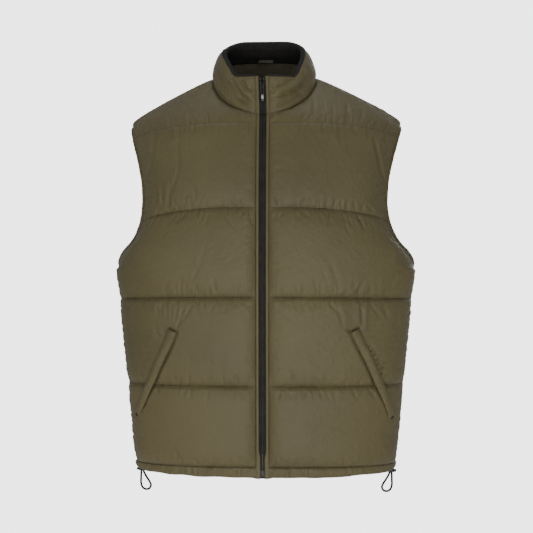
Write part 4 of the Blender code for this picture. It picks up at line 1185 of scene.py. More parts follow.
def plastic_finish(name, colour):
    """Moulded plastic: a fine grain and a dull gloss."""
    finish, tree, shader = new_finish(name)
    place = add(tree, "TexCoord").outputs["Object"]
    grain, patch = noise_at(place, 3500.0), noise_at(place, 300.0)
    light = tuple(1.7 * part for part in colour)
    fed(shader, {"Base Color": colour_ramp(patch, ((0.35, colour), (0.75, light))),
                 "Roughness": scaled(patch, 0.2, 0.32)})
    bumped(shader, (grain, 0.00005, 0.6))
    return finish


def thread_finish(name, colour):
    """Sewing thread: slanting twist lines along each stitch."""
    finish, tree, shader = new_finish(name)
    uv = add(tree, "UVMap", uv_map="cloth").outputs[0]
    split = add(tree, "SeparateXYZ", {0: uv})
    slant = math_of("ADD", split.outputs[0], split.outputs[1])
    twist = math_of("SINE", times(slant, 14000.0))
    light = tuple(1.5 * part for part in colour)
    tone = colour_ramp(scaled(twist, 0.5, 0.5), ((0.2, colour), (0.9, light)))
    fed(shader, {"Base Color": tone, "Roughness": 0.6})
    bumped(shader, (twist, 0.00005, 0.6))
    return finish


def braid_finish(name, colour):
    """Braided cord: two sets of slanting strands that cross along its length."""
    finish, tree, shader = new_finish(name)
    uv = add(tree, "UVMap", uv_map="cloth").outputs[0]
    split = add(tree, "SeparateXYZ", {0: uv})
    strands = []
    for sign in (1.0, -1.0):
        slant = scaled(split.outputs[0], sign, split.outputs[1])
        strands.append(math_of("SINE", times(slant, 5200.0)))
    crossing = math_of("MAXIMUM", *strands)
    light = tuple(2.2 * part for part in colour)
    tone = colour_ramp(scaled(crossing, 0.5, 0.5), ((0.3, colour), (1.0, light)))
    fed(shader, {"Base Color": tone, "Roughness": 0.7})
    bumped(shader, (crossing, 0.00018, 0.9))
    return finish


# ---- stitches


STITCH_LENGTH = 0.0024
STITCH_PITCH = 0.0031
STITCH_RADIUS = 0.00021
STITCH_LIFT = 0.0001


def stitch_form():
    """One stitch along X: a thin body that dips into the cloth at both ends."""
    half, thick = STITCH_LENGTH / 2, STITCH_RADIUS
    stations = np.array(((-half, -1.2, 0.55), (-half * 0.6, 0.2, 1.0), (half * 0.6, 0.2, 1.0),
                         (half, -1.2, 0.55)))
    turn = np.linspace(0, 2 * math.pi, 5, endpoint=False)
    rings = np.stack(
        [
            np.broadcast_to(stations[:, :1], (4, 5)),
            thick * stations[:, 2:] * np.cos(turn),
            thick * (stations[:, 1:2] + stations[:, 2:] * np.sin(turn)),
        ],
        axis=-1,
    )
    return swept(rings)


def stitched_line(path, normals):
    """A row of stitches at even lengths along a path that lies on cloth."""
    half = STITCH_PITCH / 2
    lengths = np.arange(half, reach_along(path)[-1] - half, STITCH_PITCH)
    places = at_lengths(path, path, lengths)
    out = unit(at_lengths(path, normals, lengths))
    along = unit(at_lengths(path, np.gradient(path, axis=0), lengths))
    side = unit(np.cross(out, along))
    up = np.cross(along, side)
    return repeated(stitch_form(), places + out * STITCH_LIFT,
                    np.stack([along, side, up], axis=1))


def grid_normals(grid):
    """The directions that a grid's cells face, to the left of its rows as its columns run."""
    return unit(np.cross(np.gradient(grid, axis=1), np.gradient(grid, axis=0)))


def facing_out(grid):
    """Grid normals turned away from the vest's upright middle line, by the sign of their sum with
    the way out from it."""
    normals = grid_normals(grid)
    return normals * np.sign((normals[..., :2] * grid[..., :2]).sum())


# ---- scene


FLOOR_HALF = 3.0
SURROUND_LIGHT = 0.335
SURROUND_SEEN = 3.2
FLOOR_SEEN = 2.2


def add_stage():
    """A pale floor far below the vest and a plain white surround."""
    world = bpy.data.worlds.new("surround")
    bpy.context.scene.world = world
    world.use_nodes = True
    tree = world.node_tree
    back = tree.nodes["Background"]
    sight = add(tree, "LightPath").outputs["Is Camera Ray"]
    fed(back, {"Strength": scaled(sight, SURROUND_SEEN, SURROUND_LIGHT), "Color": (1.0,) * 4})

    finish, tree, shader = new_finish("pale_floor")
    noise = noise_at(add(tree, "TexCoord").outputs["Object"], 2.0)
    tone = colour_ramp(noise, ((0.0, (0.86,) * 3), (1.0, (0.88,) * 3)))
    sight = add(tree, "LightPath").outputs["Is Camera Ray"]
    fed(shader, {"Base Color": tone, "Roughness": 0.8, "Emission Color": (1.0,) * 4,
                 "Emission Strength": times(sight, FLOOR_SEEN)})
    size = FLOOR_HALF
    corners = np.array(((-size, -size, FLOOR_Z), (size, -size, FLOOR_Z), (size, size, FLOOR_Z),
                        (-size, size, FLOOR_Z)))
    mesh = mesh_of("floor", Form(corners, [np.array([[0, 1, 2, 3]])], None))
    floor = new_object("floor", mesh)
    floor.data.materials.append(finish)


Lamp = namedtuple("Lamp", "name place aim size watts")
LAMPS = (
    Lamp("front_low", (0.05, -1.5, -0.69), (0.0, -0.1, -0.50), 1.2, 11.4),
    Lamp("front_left", (-1.9, -2.5, 0.1), (0.0, 0.0, -0.3), 1.2, 8.4),
    Lamp("front_right", (2.0, -2.4, 0.0), (0.0, 0.0, -0.3), 1.2, 5.8),
    Lamp("above", (0.0, 0.25, 1.5), (0.0, 0.0, -0.1), 0.9, 5.2),
    Lamp("over_collar", (0.0, -0.22, 0.50), (0.0, 0.06, 0.0), 0.25, 0.20),
    Lamp("behind", (0.6, 3.0, 0.4), (0.0, 0.0, -0.3), 2.0, 34.0),
)


def add_lamps():
    """Soft square lamps, each turned towards the point that it aims at."""
    for lamp in LAMPS:
        data = bpy.data.lights.new(lamp.name, "AREA")
        data.shape = "SQUARE"
        data.size = lamp.size
        data.energy = lamp.watts
        obj = new_object(lamp.name, data)
        obj.location = lamp.place
        obj.visible_camera = False
        obj.rotation_euler = direction_turn(np.array(lamp.aim) - np.array(lamp.place))


def direction_turn(aim):
    """The Euler turn that points an object's -Z along a direction, with Y up."""
    x, y, z = aim / np.linalg.norm(aim)
    return (math.acos(-z), 0.0, math.atan2(y, x) - math.pi / 2)


def add_camera():
    """A level camera in front of the vest, turned a little to its side."""
    data = bpy.data.cameras.new("camera")
    data.lens = CAMERA_LENS
    data.sensor_width = 36.0
    obj = new_object("camera", data)
    side = np.array((math.cos(CAMERA_TURN), math.sin(CAMERA_TURN), 0.0))
    back = np.array((math.sin(CAMERA_TURN), -math.cos(CAMERA_TURN), 0.0))
    place = back * CAMERA_AWAY + side * CAMERA_ASIDE + np.array((0.0, 0.0, CAMERA_Z))
    obj.location = place
    obj.rotation_euler = (math.pi / 2, 0.0, CAMERA_TURN)
    bpy.context.scene.camera = obj


# ---- drawcords and locks


CORD_DIAMETER = 0.0038
LOOP_ROUTE = (
    (0.2140, -0.0010, -0.6690), (0.2144, -0.0014, -0.6760), (0.2145, -0.0020, -0.6828),
    (0.2143, -0.0022, -0.6935), (0.2118, -0.0020, -0.7000), (0.2060, -0.0014, -0.7032),
    (0.2002, -0.0006, -0.7016), (0.1978, 0.0002, -0.6965), (0.1999, 0.0008, -0.6910),
    (0.2038, 0.0012, -0.6850), (0.2080, 0.0014, -0.6780), (0.2100, 0.0012, -0.6740),
    (0.2108, 0.0010, -0.6690),
)
CORD_STATIONS = 90


def smooth_route(route, stations):
    """Points evenly along a cubic that passes through a route's own points."""
    points = np.array(route)
    knots = reach_along(points)
    fine = np.linspace(0, knots[-1], 800)
    path = loft(knots, points[:, None, :], fine, 1, np.zeros(1))[:, 0]
    return by_length(path, np.linspace(0, 1, stations))


LOCK_PROFILE = (
    (-0.0064, 0.0008), (-0.0063, 0.0022), (-0.0056, 0.0031), (-0.0040, 0.0034), (-0.0012, 0.0034),
    (-0.0009, 0.0030), (0.0003, 0.0030), (0.0006, 0.0034), (0.0022, 0.0034), (0.0027, 0.0030),
    (0.0030, 0.0026), (0.0048, 0.0026), (0.0059, 0.0021), (0.0063, 0.0010),
)


def add_drawcords(finishes):
    """The free loop and the spring lock under each side seam."""
    route = smooth_route(LOOP_ROUTE, CORD_STATIONS)
    for side, turn in SIDES:
        path = route * turn
        cord = piece(f"cord_{side}", tube(path, CORD_DIAMETER / 2, 12), finishes["braid"],
                     nodes=(f"drawcord_loop_{side}",))
        low, high = np.array(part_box(f"cord_lock_{side}"))
        centre = (low + high) / 2
        body = turned_form(LOCK_PROFILE, 28)
        lock = piece(f"lock_{side}", body._replace(points=body.points * turn + centre),
                     finishes["plastic"], nodes=(f"cord_lock_{side}",))


# ---- bands, bindings and plackets


HEM_CENTRE_Z = -0.6665
HEM_SIDE_Z = -0.6640
HEM_EDGE_X = 0.2205
HEM_DRAW = 0.0040
HEM_SECTION = ((0.0002, 0.0), (0.0020, 0.12), (0.0027, 0.34), (0.0026, 0.64), (0.0014, 0.92),
               (-0.0010, 1.0), (-0.0036, 0.94), (-0.0042, 0.66), (-0.0040, 0.30), (-0.0020, 0.0))
HEM_TUCK = 0.0016
HEM_PUCKERED_FROM = 0.0022  # how far the seam that puckers it is taken to be, all along
BINDING_GAP = 0.0003
BINDING_STATIONS = 320
BINDING_PUCKERED_FROM = 0.0040
UNDERARM_FALL = 0.0018  # how much flatter the edge lies under the arm, and over what length
UNDERARM_FALL_REACH = 0.022
UNDERARM_DIP = 0.0026  # how much deeper its foot sits at the side seam, and over what length
UNDERARM_DIP_REACH = 0.008
BINDING_SECTION = ((-0.0002, 0.0006), (0.0014, 0.0016), (0.0034, 0.0014), (0.0044, 0.0002),
                   (0.0044, -0.0014), (0.0034, -0.0025), (0.0012, -0.0026), (-0.0002, -0.0022))


def hem_band(top, out, rng, tucked):
    """A folded band below a panel's lowest row, drawn up a little along its seam. Tucked, its
    first end runs on behind the placket."""
    out = unit(out * np.array((1.0, 1.0, 0.0)))
    if tucked:
        end = top[:1] - HEM_TUCK * unit(top[1:2] - top[:1]) - out[:1] * 0.0004
        top, out = np.concatenate([end, top]), np.concatenate([out[:1], out])
    bottom = HEM_SIDE_Z + (HEM_CENTRE_Z - HEM_SIDE_Z) * (1 - (top[:, 0] / HEM_EDGE_X) ** 2)
    height = (top[:, 2] - SEAM_INSET - bottom)[:, None]
    lengths = reach_along(top)
    step = lengths[-1] / (len(top) - 1)
    draw = HEM_DRAW * (top[:, :1] / HEM_EDGE_X) ** 2
    ripple = wander(rng, len(top), 0.010 / step) + 0.9 * wander(rng, len(top), 0.005 / step)
    sag = 0.0013 * wander(rng, len(top), 0.026 / step)
    corners = []
    for reach, share in HEM_SECTION:
        swell = 0.0018 * ripple * math.sin(math.pi * share) * (1 if reach > 0 else 0.3)
        corner = top + out * (reach + swell[:, None] - draw * share)
        corner[:, 2] -= (SEAM_INSET + height[:, 0] * share - sag * share)
        corners.append(corner)
    return swept(softened(np.stack(corners, axis=1)))


def puckered(form, away):
    """The form marked as lying this far from the stitches that pucker it, all along."""
    return form._replace(marks=np.tile((1.0, away), (len(form.points), 1)))


def half_binding(front, back):
    """The edge line of the right armhole, its outward and hole directions, as a closed loop."""
    first = front.rows[UNDERARM_ROW]
    last = back.rows[UNDERARM_ROW]
    edge = np.concatenate([front.base[first:, -1], back.base[-2:last:-1, -1]])
    out = np.concatenate([front.normals[first:, -1], back.normals[-2:last:-1, -1]])
    inside = np.concatenate([front.base[first:, -3], back.base[-2:last:-1, -3]])
    inside[0] = edge[0] - np.array((0.0, 0.0, 1.0))
    return edge, out, inside


def round_loop(values, reach):
    """A closed line's values, blurred along it."""
    turns = np.concatenate([values, values, values])[:, None]
    return smoothed(turns, reach)[len(values):2 * len(values), 0]


def binding(edge, out, inside, rng):
    """A turned edge round an armhole: its section carried along the line, a ripple added to the
    rise. Under the arm the rise is less and the foot deeper, each by a bell curve of the length."""
    loop = np.concatenate([edge, edge[:1]])
    stations = np.arange(BINDING_STATIONS)
    lengths = np.linspace(0, reach_along(loop)[-1], BINDING_STATIONS, endpoint=False)
    line = round_loop(at_lengths(loop, loop, lengths), 2.2)
    out = unit(round_loop(at_lengths(loop, np.concatenate([out, out[:1]]), lengths), 5.0))
    inside = at_lengths(loop, np.concatenate([inside, inside[:1]]), lengths)
    along = unit(round_loop(np.roll(line, -2, axis=0) - np.roll(line, 2, axis=0), 3.0))
    out = unit(out - along * (out * along).sum(axis=1, keepdims=True))
    hole = np.cross(along, out)
    hole *= np.sign(((line - inside) * hole).sum(axis=1, keepdims=True))
    step = lengths[1]
    ripple = wander(rng, BINDING_STATIONS, 0.010 / step)
    ripple = 0.0005 * (ripple + 0.5 * wander(rng, BINDING_STATIONS, 0.004 / step))
    ends = ease(stations / 12) * ease(stations[::-1] / 12)
    from_underarm = np.minimum(lengths, lengths[-1] - lengths)
    low = (UNDERARM_FALL * np.exp(-(from_underarm / UNDERARM_FALL_REACH) ** 2))[:, None]
    dip = (UNDERARM_DIP * np.exp(-(from_underarm / UNDERARM_DIP_REACH) ** 2))[:, None]
    corners = [
        line + hole * (reach + BINDING_GAP - dip * (reach < 0))
        + out * (rise - low + (ripple * ends)[:, None] * (rise > 0))
        for reach, rise in BINDING_SECTION
    ]
    return swept(softened(np.stack(corners, axis=1)), ring=True)


def front_line(front, foot, top):
    """The line of the fronts' edges in the plane x = 0, from the hem's bottom to the collar's top,
    and its forward directions."""
    hem = front.base[0, 0].copy()
    hem[2] = HEM_CENTRE_Z
    rise = foot + (top - foot) * np.linspace(0, 1, 24)[1:, None]
    line = np.concatenate([[hem], front.base[:, 0], rise])
    line[:, 0] = 0
    line = by_length(line, np.linspace(0, 1, 420))
    along = np.gradient(line, axis=0)
    return line, unit(np.cross(along, -RIGHTWARD))


def strip(line, forward, profile):
    """A strip along the front line. The profile gives x and the distance forward, each a number
    or one value for each station."""
    corners = []
    for x, rise in profile:
        x, rise = (np.broadcast_to(value, (len(line),))[:, None] for value in (x, rise))
        corners.append(line + RIGHTWARD * x + forward * rise)
    return np.stack(corners, axis=1)


# ---- pocket welts


WELT_LINES = {
    "left": ((0.1375, -0.4285), (0.1600, -0.4745), (0.1800, -0.5150), (0.1915, -0.5400),
             (0.2075, -0.5710)),
    "right": ((0.1420, -0.4290), (0.1655, -0.4750), (0.1850, -0.5180), (0.1985, -0.5480),
              (0.2075, -0.5740)),
}
WELT_REACH_X = (0.0150, 0.0108)
WELT_REACH_Z = (0.0070, 0.0036)
WELT_STEPS = 90
WELT_SPAN = 46  # steps that the welt can span without touching the panel
# Share across the welt from its free edge, and the height above the panel, round the section
WELT_SECTION = ((0.02, 0.0004), (-0.05, 0.0014), (-0.03, 0.0036), (0.10, 0.0050), (0.36, 0.0054),
                (0.64, 0.0046), (0.88, 0.0028), (1.00, 0.0010), (1.02, -0.0006), (0.80, -0.0004),
                (0.40, 0.0002))
WELT_PUCKERED_FROM = 0.0080  # how far the seams that pucker it are taken to be
TACK_STITCHES = 9
TACK_LENGTH = 0.0036
TACK_WIDTH = 0.0070
TACK_LIFT = 0.0030
SLIT_AWAY = 0.0016
SLIT_WIDTH = 0.0034
SLIT_DEPTH = 0.0052


def bridged(depths):
    """Depths along each line of a strip, with the hollow over a stitched line spanned."""
    count = depths.shape[1]
    spanned = depths.copy()
    for low in range(count):
        for high in range(low + 2, min(low + WELT_SPAN, count)):
            share = np.linspace(0, 1, high - low + 1)
            chord = depths[:, low : low + 1] * (1 - share) + depths[:, high : high + 1] * share
            spanned[:, low : high + 1] = np.minimum(spanned[:, low : high + 1], chord)
    return spanned


def welt_slit(side, turn):
    """The crease under a welt's free edge: the welt's own line, moved a little to the zip."""
    line = (np.array(WELT_LINES[side]) - (SLIT_AWAY, 0.0)) * turn[:2]
    return Crease(line, SLIT_WIDTH, SLIT_DEPTH)


def welt(outer, normals, side, turn, rng):
    """A padded welt laid over a front, with its free edge towards the zip: the section's heights,
    times a swell at its ends, plus a ripple, out from the front's own surface."""
    shares = np.linspace(0, 1, WELT_STEPS)
    line = by_length(np.array(WELT_LINES[side]), shares)
    across, heights = np.array(WELT_SECTION).T
    reach = np.stack(
        [np.interp(shares, (0, 1), WELT_REACH_X), np.interp(shares, (0, 1), WELT_REACH_Z)], axis=1
    )
    spots = line[None] + reach[None] * across[:, None, None]
    spots = spots * turn[:2]
    y = smoothed(bridged(grid_at(outer, outer, spots)[..., 1]), 1.2)
    out = unit(smoothed(grid_at(outer, normals, spots), 3.0))
    places = np.stack([spots[..., 0], y, spots[..., 1]], axis=-1)
    ends = (1 + 0.9 * np.exp(-shares / 0.055)) * (0.35 + 0.65 * ease((1 - shares) / 0.10))
    step = reach_along(line)[1]
    ripple = 0.0005 * wander(rng, WELT_STEPS, 0.012 / step)
    ripple = ripple + 0.0003 * wander(rng, WELT_STEPS, 0.005 / step)
    raised = heights[:, None] * ends + ripple * (heights > 0.002)[:, None] * ends
    points = places + out * raised[..., None]
    return points.swapaxes(0, 1), places, out


def bar_tack(place, out, along):
    """A short dense bar of stitches across the end of a welt: one stitch, stretched to the bar's
    width and set side by side along it."""
    side = np.cross(out, along)
    places = place + along * (np.linspace(-0.5, 0.5, TACK_STITCHES)[:, None] * TACK_LENGTH)
    axes = np.stack([side, np.cross(out, side), out])
    axes = np.repeat(axes[None], TACK_STITCHES, axis=0)
    form = stitch_form()
    stretch = np.array((TACK_WIDTH / STITCH_LENGTH, 1.2, 1.4))
    return repeated(form._replace(points=form.points * stretch), places, axes)


# ---- collar


def collar_lines(points_on_quarter):
    """The collar's seam line, top line and outward directions, from the right front edge round
    the back to the left front edge."""
    shares = np.linspace(0, 1, points_on_quarter)
    right = np.concatenate(
        [neck_arc(FRONT_NECK, FRONT_EDGE_X, shares), neck_arc(BACK_NECK, 0.0, shares)[-2::-1]]
    )
    foot = np.concatenate([right, right[-2::-1] * MIRROR])
    depth = np.where(foot[:, 1] < 0, -FRONT_NECK.centre_y, BACK_NECK.centre_y)
    turn = np.arctan2(foot[:, 1] / depth, foot[:, 0] / NECK_HALF)
    power = 2 / COLLAR_SQUARENESS
    x = COLLAR_TOP_HALF * np.sign(np.cos(turn)) * np.abs(np.cos(turn)) ** power
    reach = np.where(foot[:, 1] < 0, -COLLAR_TOP_FRONT_Y, COLLAR_TOP_BACK_Y)
    y = reach * np.sign(np.sin(turn)) * np.abs(np.sin(turn)) ** power
    forward = np.clip(y / COLLAR_TOP_FRONT_Y, 0, 1)
    drop = np.where(x < 0, np.interp(forward, *COLLAR_DROP_LEFT),
                    np.interp(forward, *COLLAR_DROP_RIGHT))
    front_z = COLLAR_SIDE_Z + (COLLAR_FRONT_Z - COLLAR_SIDE_Z) * drop
    risen = np.interp(np.clip(y / COLLAR_TOP_BACK_Y, 0, 1), *COLLAR_RISE)
    back_z = COLLAR_SIDE_Z + (COLLAR_BACK_Z - COLLAR_SIDE_Z) * risen
    top = np.stack([x, y, np.where(y < 0, front_z, back_z)], axis=1)
    top[0, 0] = FRONT_EDGE_X
    top[-1, 0] = -FRONT_EDGE_X
    top = smoothed(top[:, None], 1.2)[:, 0]
    top[0, 0], top[-1, 0] = FRONT_EDGE_X, -FRONT_EDGE_X
    out = unit(np.cross(np.gradient(foot + top, axis=0), top - foot))
    return foot, top, out


def drawn_in_ends(line):
    """The line with both ends moved along it by the seams' inset."""
    drawn = line.copy()
    drawn[0] += SEAM_INSET * unit(line[1] - line[0])
    drawn[-1] += SEAM_INSET * unit(line[-2] - line[-1])
    return drawn


def collar_cloth(foot, top, out, rng):
    """The collar's outer and inner grids, one row for each step up from the neck seam."""
    foot, top = drawn_in_ends(foot), drawn_in_ends(top)
    foot = foot + SEAM_INSET * unit(top - foot)
    shares = np.linspace(0, 1, COLLAR_STEPS)
    base = foot + (top - foot) * shares[:, None, None]
    lengths = reach_along(foot)
    from_zip = np.minimum(lengths, lengths[-1] - lengths)
    rounded = (1 - np.abs(2 * shares - 1) ** 2.6) ** 0.8
    puff = COLLAR_PUFF * rounded[:, None] * (1 - np.exp(-from_zip / 0.012))[None]
    outs = np.repeat(out[None], len(shares), axis=0)
    outs[0] = neck_directions(foot)
    outs = unit(smoothed(outs, 0.8))
    height = np.linalg.norm(top - foot, axis=1)[None] * shares[:, None]
    held = np.zeros(puff.shape, bool)
    held[[0, -1]] = True
    held[:, [0, -1]] = True
    lift = outs * puff[..., None]
    detail = billowed("collar_blown", base + BLOWN_FROM * lift, outs, held, COLLAR_SEED)
    uv = doubled(np.stack([np.broadcast_to(lengths, height.shape), height], axis=-1))
    fine, directions = doubled(base), unit(doubled(outs))
    below, above = uv[..., 1], uv[-1:, :, 1] - uv[..., 1]
    rise = creased(fine, in_metres(COLLAR_CREASES)) * (fine[..., 1] < 0)
    rise += gathers(uv[0, :, 0], below, rng, 0.010, 0.010, 0.0012)
    rise += gathers(uv[0, :, 0], above, rng, 0.012, 0.006, 0.0007)
    from_ends = np.minimum(uv[..., 0], uv[..., 0].max() - uv[..., 0])
    marks = np.stack([np.minimum(below, above), from_ends], axis=-1)
    window = 1 - np.exp(-(marks.min(axis=-1) / SEAM_CLEAR) ** 2)
    outer = doubled(base + lift + detail) + directions * (rise * window)[..., None]
    return outer, base - outs * WALL, uv, marks


def lining_sections(foot, top, out):
    """The fleece's closed sections: a strip up the inside that rolls over the collar's top."""
    foot, top = drawn_in_ends(foot), drawn_in_ends(top)
    up = unit(top - foot)
    backward = ease(foot[:, 1] / BACK_NECK.centre_y + LINING_RISE_START)
    rise = LINING_FRONT_FOOT + (LINING_BACK_FOOT - LINING_FRONT_FOOT) * backward
    low = foot + up * rise[:, None]
    deep, shallow = LINING_FOOT_DEPTHS
    corners = [low + out * shallow]
    corners += [low + (top - low) * share + out * shallow for share in (0.35, 0.7)]
    corners += [top + out * reach + up * rise for reach, rise in LINING_ROLL]
    corners += [low + (top - low) * share + out * deep for share in (0.6, 0.3)]
    corners += [low + out * deep]
    return np.stack(corners, axis=1)


# ---- neck facing and loop


FACING_THICK = 0.0010
FACING_GAP = 0.0004
FACING_CLEAR = 3  # columns by which the facing stays short of the shoulder


def back_facing(back, foot, top, out):
    """The facing inside the back neck: from the fleece down the collar, over the seam and down the
    back to its first quilting line."""
    middle_column = back.base.shape[1] // 2
    shares = np.abs(np.arange(back.base.shape[1]) - middle_column) / middle_column
    reach = int((shares <= NECK_SHARE).sum()) // 2 - FACING_CLEAR
    across = slice(middle_column - reach, middle_column + reach + 1)
    lowest = back.rows[YOKE_ROW]
    panel = (back.base - back.normals * WALL)[lowest:, across][::-1]
    panel_out = back.normals[lowest:, across][::-1]
    stations = np.linspace(0, 1, panel.shape[1])
    middle = len(foot) // 2
    near = np.abs(foot[:, 0]) <= np.abs(panel[0, [0, -1], 0]).max()
    near &= foot[:, 1] > 0
    order = np.argsort(foot[near, 0])
    low, high, outs = (by_length(part[near][order], stations) for part in (foot, top, out))
    outs = unit(outs)
    up = unit(high - low)
    rises = np.array((LINING_BACK_FOOT - 0.0006, 0.013, 0.007, 0.0025))[:, None, None]
    collar_part = low + up * rises - outs * WALL
    collar_out = np.repeat(outs[None], len(rises), axis=0)
    places = np.concatenate([collar_part, panel[1:]])
    directions = unit(smoothed(np.concatenate([collar_out, panel_out[1:]]), 0.8))
    hidden = places - directions * FACING_GAP
    seen = doubled(hidden - directions * FACING_THICK)
    return wall(seen, hidden, np.stack([lengths_over(seen, 1), lengths_over(seen, 0)], axis=-1))


LOOP_WIDTH = 0.026
LOOP_HEIGHT = 0.005
LOOP_THICK = 0.0012
LOOP_BOW = 0.0030


def hanger_loop(foot, top):
    """A flat strip across the back neck, bowed away from the lining between its ends."""
    middle = len(foot) // 2
    up = unit(top[middle] - foot[middle])
    across = np.linspace(-1, 1, 33)
    centre = foot[middle] + up * (LINING_BACK_FOOT + LOOP_HEIGHT / 2)
    inward = np.array((0.0, -1.0, 0.0))
    depth = -LINING_FOOT_DEPTHS[0] + 2 * FACING_GAP
    bow = depth + LOOP_BOW * (1 - np.abs(across) ** 2.6)
    place = centre + inward * bow[:, None]
    place[:, 0] += across * LOOP_WIDTH / 2
    rise, thick = up * LOOP_HEIGHT / 2, inward * LOOP_THICK
    corners = [place - rise, place, place + rise]
    corners += [place + rise + thick, place + thick * 1.15, place - rise + thick]
    return swept(softened(np.stack(corners, axis=1)))


# ---- the zip's own pieces


SLIDER_Z = -0.0222
COIL_PITCH = 0.0015
PIN_Y = -0.09378


def rounded_outline(points, rounds=2):
    """A closed outline with its corners cut, as softened does."""
    return softened(np.array(points, float)[None], rounds)[0]


def mirrored_outline(half):
    """A closed outline from its right half, from the top down."""
    half = np.array(half)
    return np.concatenate([half, half[::-1] * np.array((-1.0, 1.0))])


SLIDER_HALF = ((0.0010, 0.0034), (0.0018, 0.0053), (0.0038, 0.0055), (0.0045, 0.0042),
               (0.0043, 0.0006), (0.0036, -0.0022), (0.0033, -0.0050), (0.0026, -0.0055))
BLOCK_HALF = ((0.0014, 0.0036), (0.0021, 0.0030), (0.0023, 0.0000), (0.0021, -0.0032),
              (0.0016, -0.0036))
TIP_HALF = ((0.0018, 0.0030), (0.0022, 0.0020), (0.0022, -0.0022), (0.0012, -0.0034))

LIP_ROUTE = ((0.0041, 0.0040), (0.0041, 0.0008), (0.0034, -0.0022), (0.0031, -0.0048))


def slider_form(low, high):
    """The slider: two plates drawn in at the bottom, side lips, and a bridge over the pull."""
    middle_x, top = (low[0] + high[0]) / 2, high[2]
    centre = np.array((middle_x, 0.0, top - 0.0055))
    outline = rounded_outline(mirrored_outline(SLIDER_HALF))
    back = high[1]
    face = back - 0.0030
    front = plate(outline, ((back - 0.0014, 0.0003), (back - 0.0016, 0.0), (face + 0.0005, 0.0),
                            (face + 0.0001, 0.0004), (face, 0.0009)))
    rear = plate(outline * 0.94, ((back, 0.0004), (back - 0.0002, 0.0), (back - 0.0010, 0.0),
                                  (back - 0.0012, 0.0003)))
    lips = []
    for sign in (-1.0, 1.0):
        path = np.array([(sign * x, back - 0.0013, z) for x, z in LIP_ROUTE])
        lips.append(tube(by_length(path, np.linspace(0, 1, 14)), 0.00075, 8))
    arch = np.array(((0, face + 0.0004, 0.0034), (0, face - 0.0018, 0.0033),
                     (0, low[1] + 0.0008, 0.0022), (0, low[1] + 0.0006, 0.0),
                     (0, low[1] + 0.0008, -0.0018), (0, face - 0.0012, -0.0030),
                     (0, face + 0.0004, -0.0033)), float)
    bridge = tube(smooth_route(arch, 26), 0.0007, 10)
    parts = [form._replace(points=form.points + centre) for form in (front, rear, *lips, bridge)]
    return joined(parts)


def pull_forms(low, high):
    """The pull: a wire loop on the slider's bridge, a pale block that it holds, and a dark tip."""
    x, y, top = (low[0] + high[0]) / 2, PIN_Y, high[2]
    wire = rounded_outline(((-0.0013, 0.0), (0.0013, 0.0), (0.0021, -0.0030), (0.0021, -0.0110),
                            (0.0017, -0.0168), (-0.0017, -0.0168), (-0.0021, -0.0110),
                            (-0.0021, -0.0030)), 3)
    path = np.stack([wire[:, 0] + x, np.full(len(wire), y), wire[:, 1] + top - 0.0006], axis=1)
    loop = tube(path, 0.0006, 8, ring=True)
    block = plate(rounded_outline(mirrored_outline(BLOCK_HALF), 1),
                  ((y + 0.0013, 0.0006), (y + 0.0010, 0.0001), (y - 0.0010, 0.0001),
                   (y - 0.0013, 0.0005)))
    tip = plate(rounded_outline(mirrored_outline(TIP_HALF), 1),
                ((y + 0.0010, 0.0005), (y + 0.0007, 0.0), (y - 0.0007, 0.0), (y - 0.0010, 0.0005)))
    block = block._replace(points=block.points + np.array((x, 0.0, top - 0.0213)))
    tip = tip._replace(points=tip.points + np.array((x, 0.0, low[2] + 0.0036)))
    return loop, block, tip


def along_line(line, forward, heights):
    """Places, forward and upward directions on the front line at these heights."""
    order = np.argsort(line[:, 2])
    z = line[order, 2]
    place = np.stack([np.interp(heights, z, line[order, k]) for k in range(3)], axis=1)
    out = unit(np.stack([np.interp(heights, z, forward[order, k]) for k in range(3)], axis=1))
    up = unit(np.cross(RIGHTWARD, out))
    return place, out, up


def coil_form():
    """One turn of the zip's coil: a wire bent across both tapes' edges."""
    path = np.array(((-0.0024, -0.0001, -0.0004), (-0.0012, 0.0005, -0.0001), (0.0, 0.0009, 0.0),
                     (0.0012, 0.0005, 0.0001), (0.0024, -0.0001, 0.0004)))
    return tube(path, 0.00034, 5)


def tooth_form():
    """The end of one coil turn, where it shows between the tapes."""
    ball = ((-0.0007, 0.0001), (-0.0005, 0.0004), (0.0005, 0.0004), (0.0007, 0.0001))
    return turned_form(ball, 6)


# ---- making the vest


def make_finishes():
    """Each of the vest's materials, with its own colour, thread count and wear."""
    weave, crumple = weave_group(), crumple_group()
    return {
        "shell": shell_finish(weave, crumple),
        "quilted": shell_finish(weave, crumple, gather_group()),
        "pile": pile_finish(),
        "facing": plain_cloth_finish("dark_facing", (0.074, 0.066, 0.043), weave, 1600.0, 0.85,
                                     0.00012),
        "tape": plain_cloth_finish("zip_tape", (0.0255, 0.0245, 0.0205), weave, 1900.0, 0.7,
                                   0.00015),
        "coil": plastic_finish("zip_coil", (0.012, 0.012, 0.0115)),
        "dark_metal": metal_finish("dark_metal", (0.026, 0.026, 0.025), (0.13, 0.125, 0.12), 0.40),
        "pale_metal": metal_finish("pale_metal", (0.34, 0.325, 0.29), (0.52, 0.50, 0.46), 0.36),
        "plastic": plastic_finish("black_plastic", (0.0085, 0.0085, 0.0085)),
        "thread": thread_finish("olive_thread", (0.036, 0.030, 0.016)),
        "loop": plain_cloth_finish("loop_tape", (0.080, 0.080, 0.055), weave, 1500.0, 0.8,
                                   0.00012),
        "braid": braid_finish("cord_braid", (0.012, 0.012, 0.0095)),
    }


FRONT_COLUMNS = 66
BACK_COLUMNS = 64


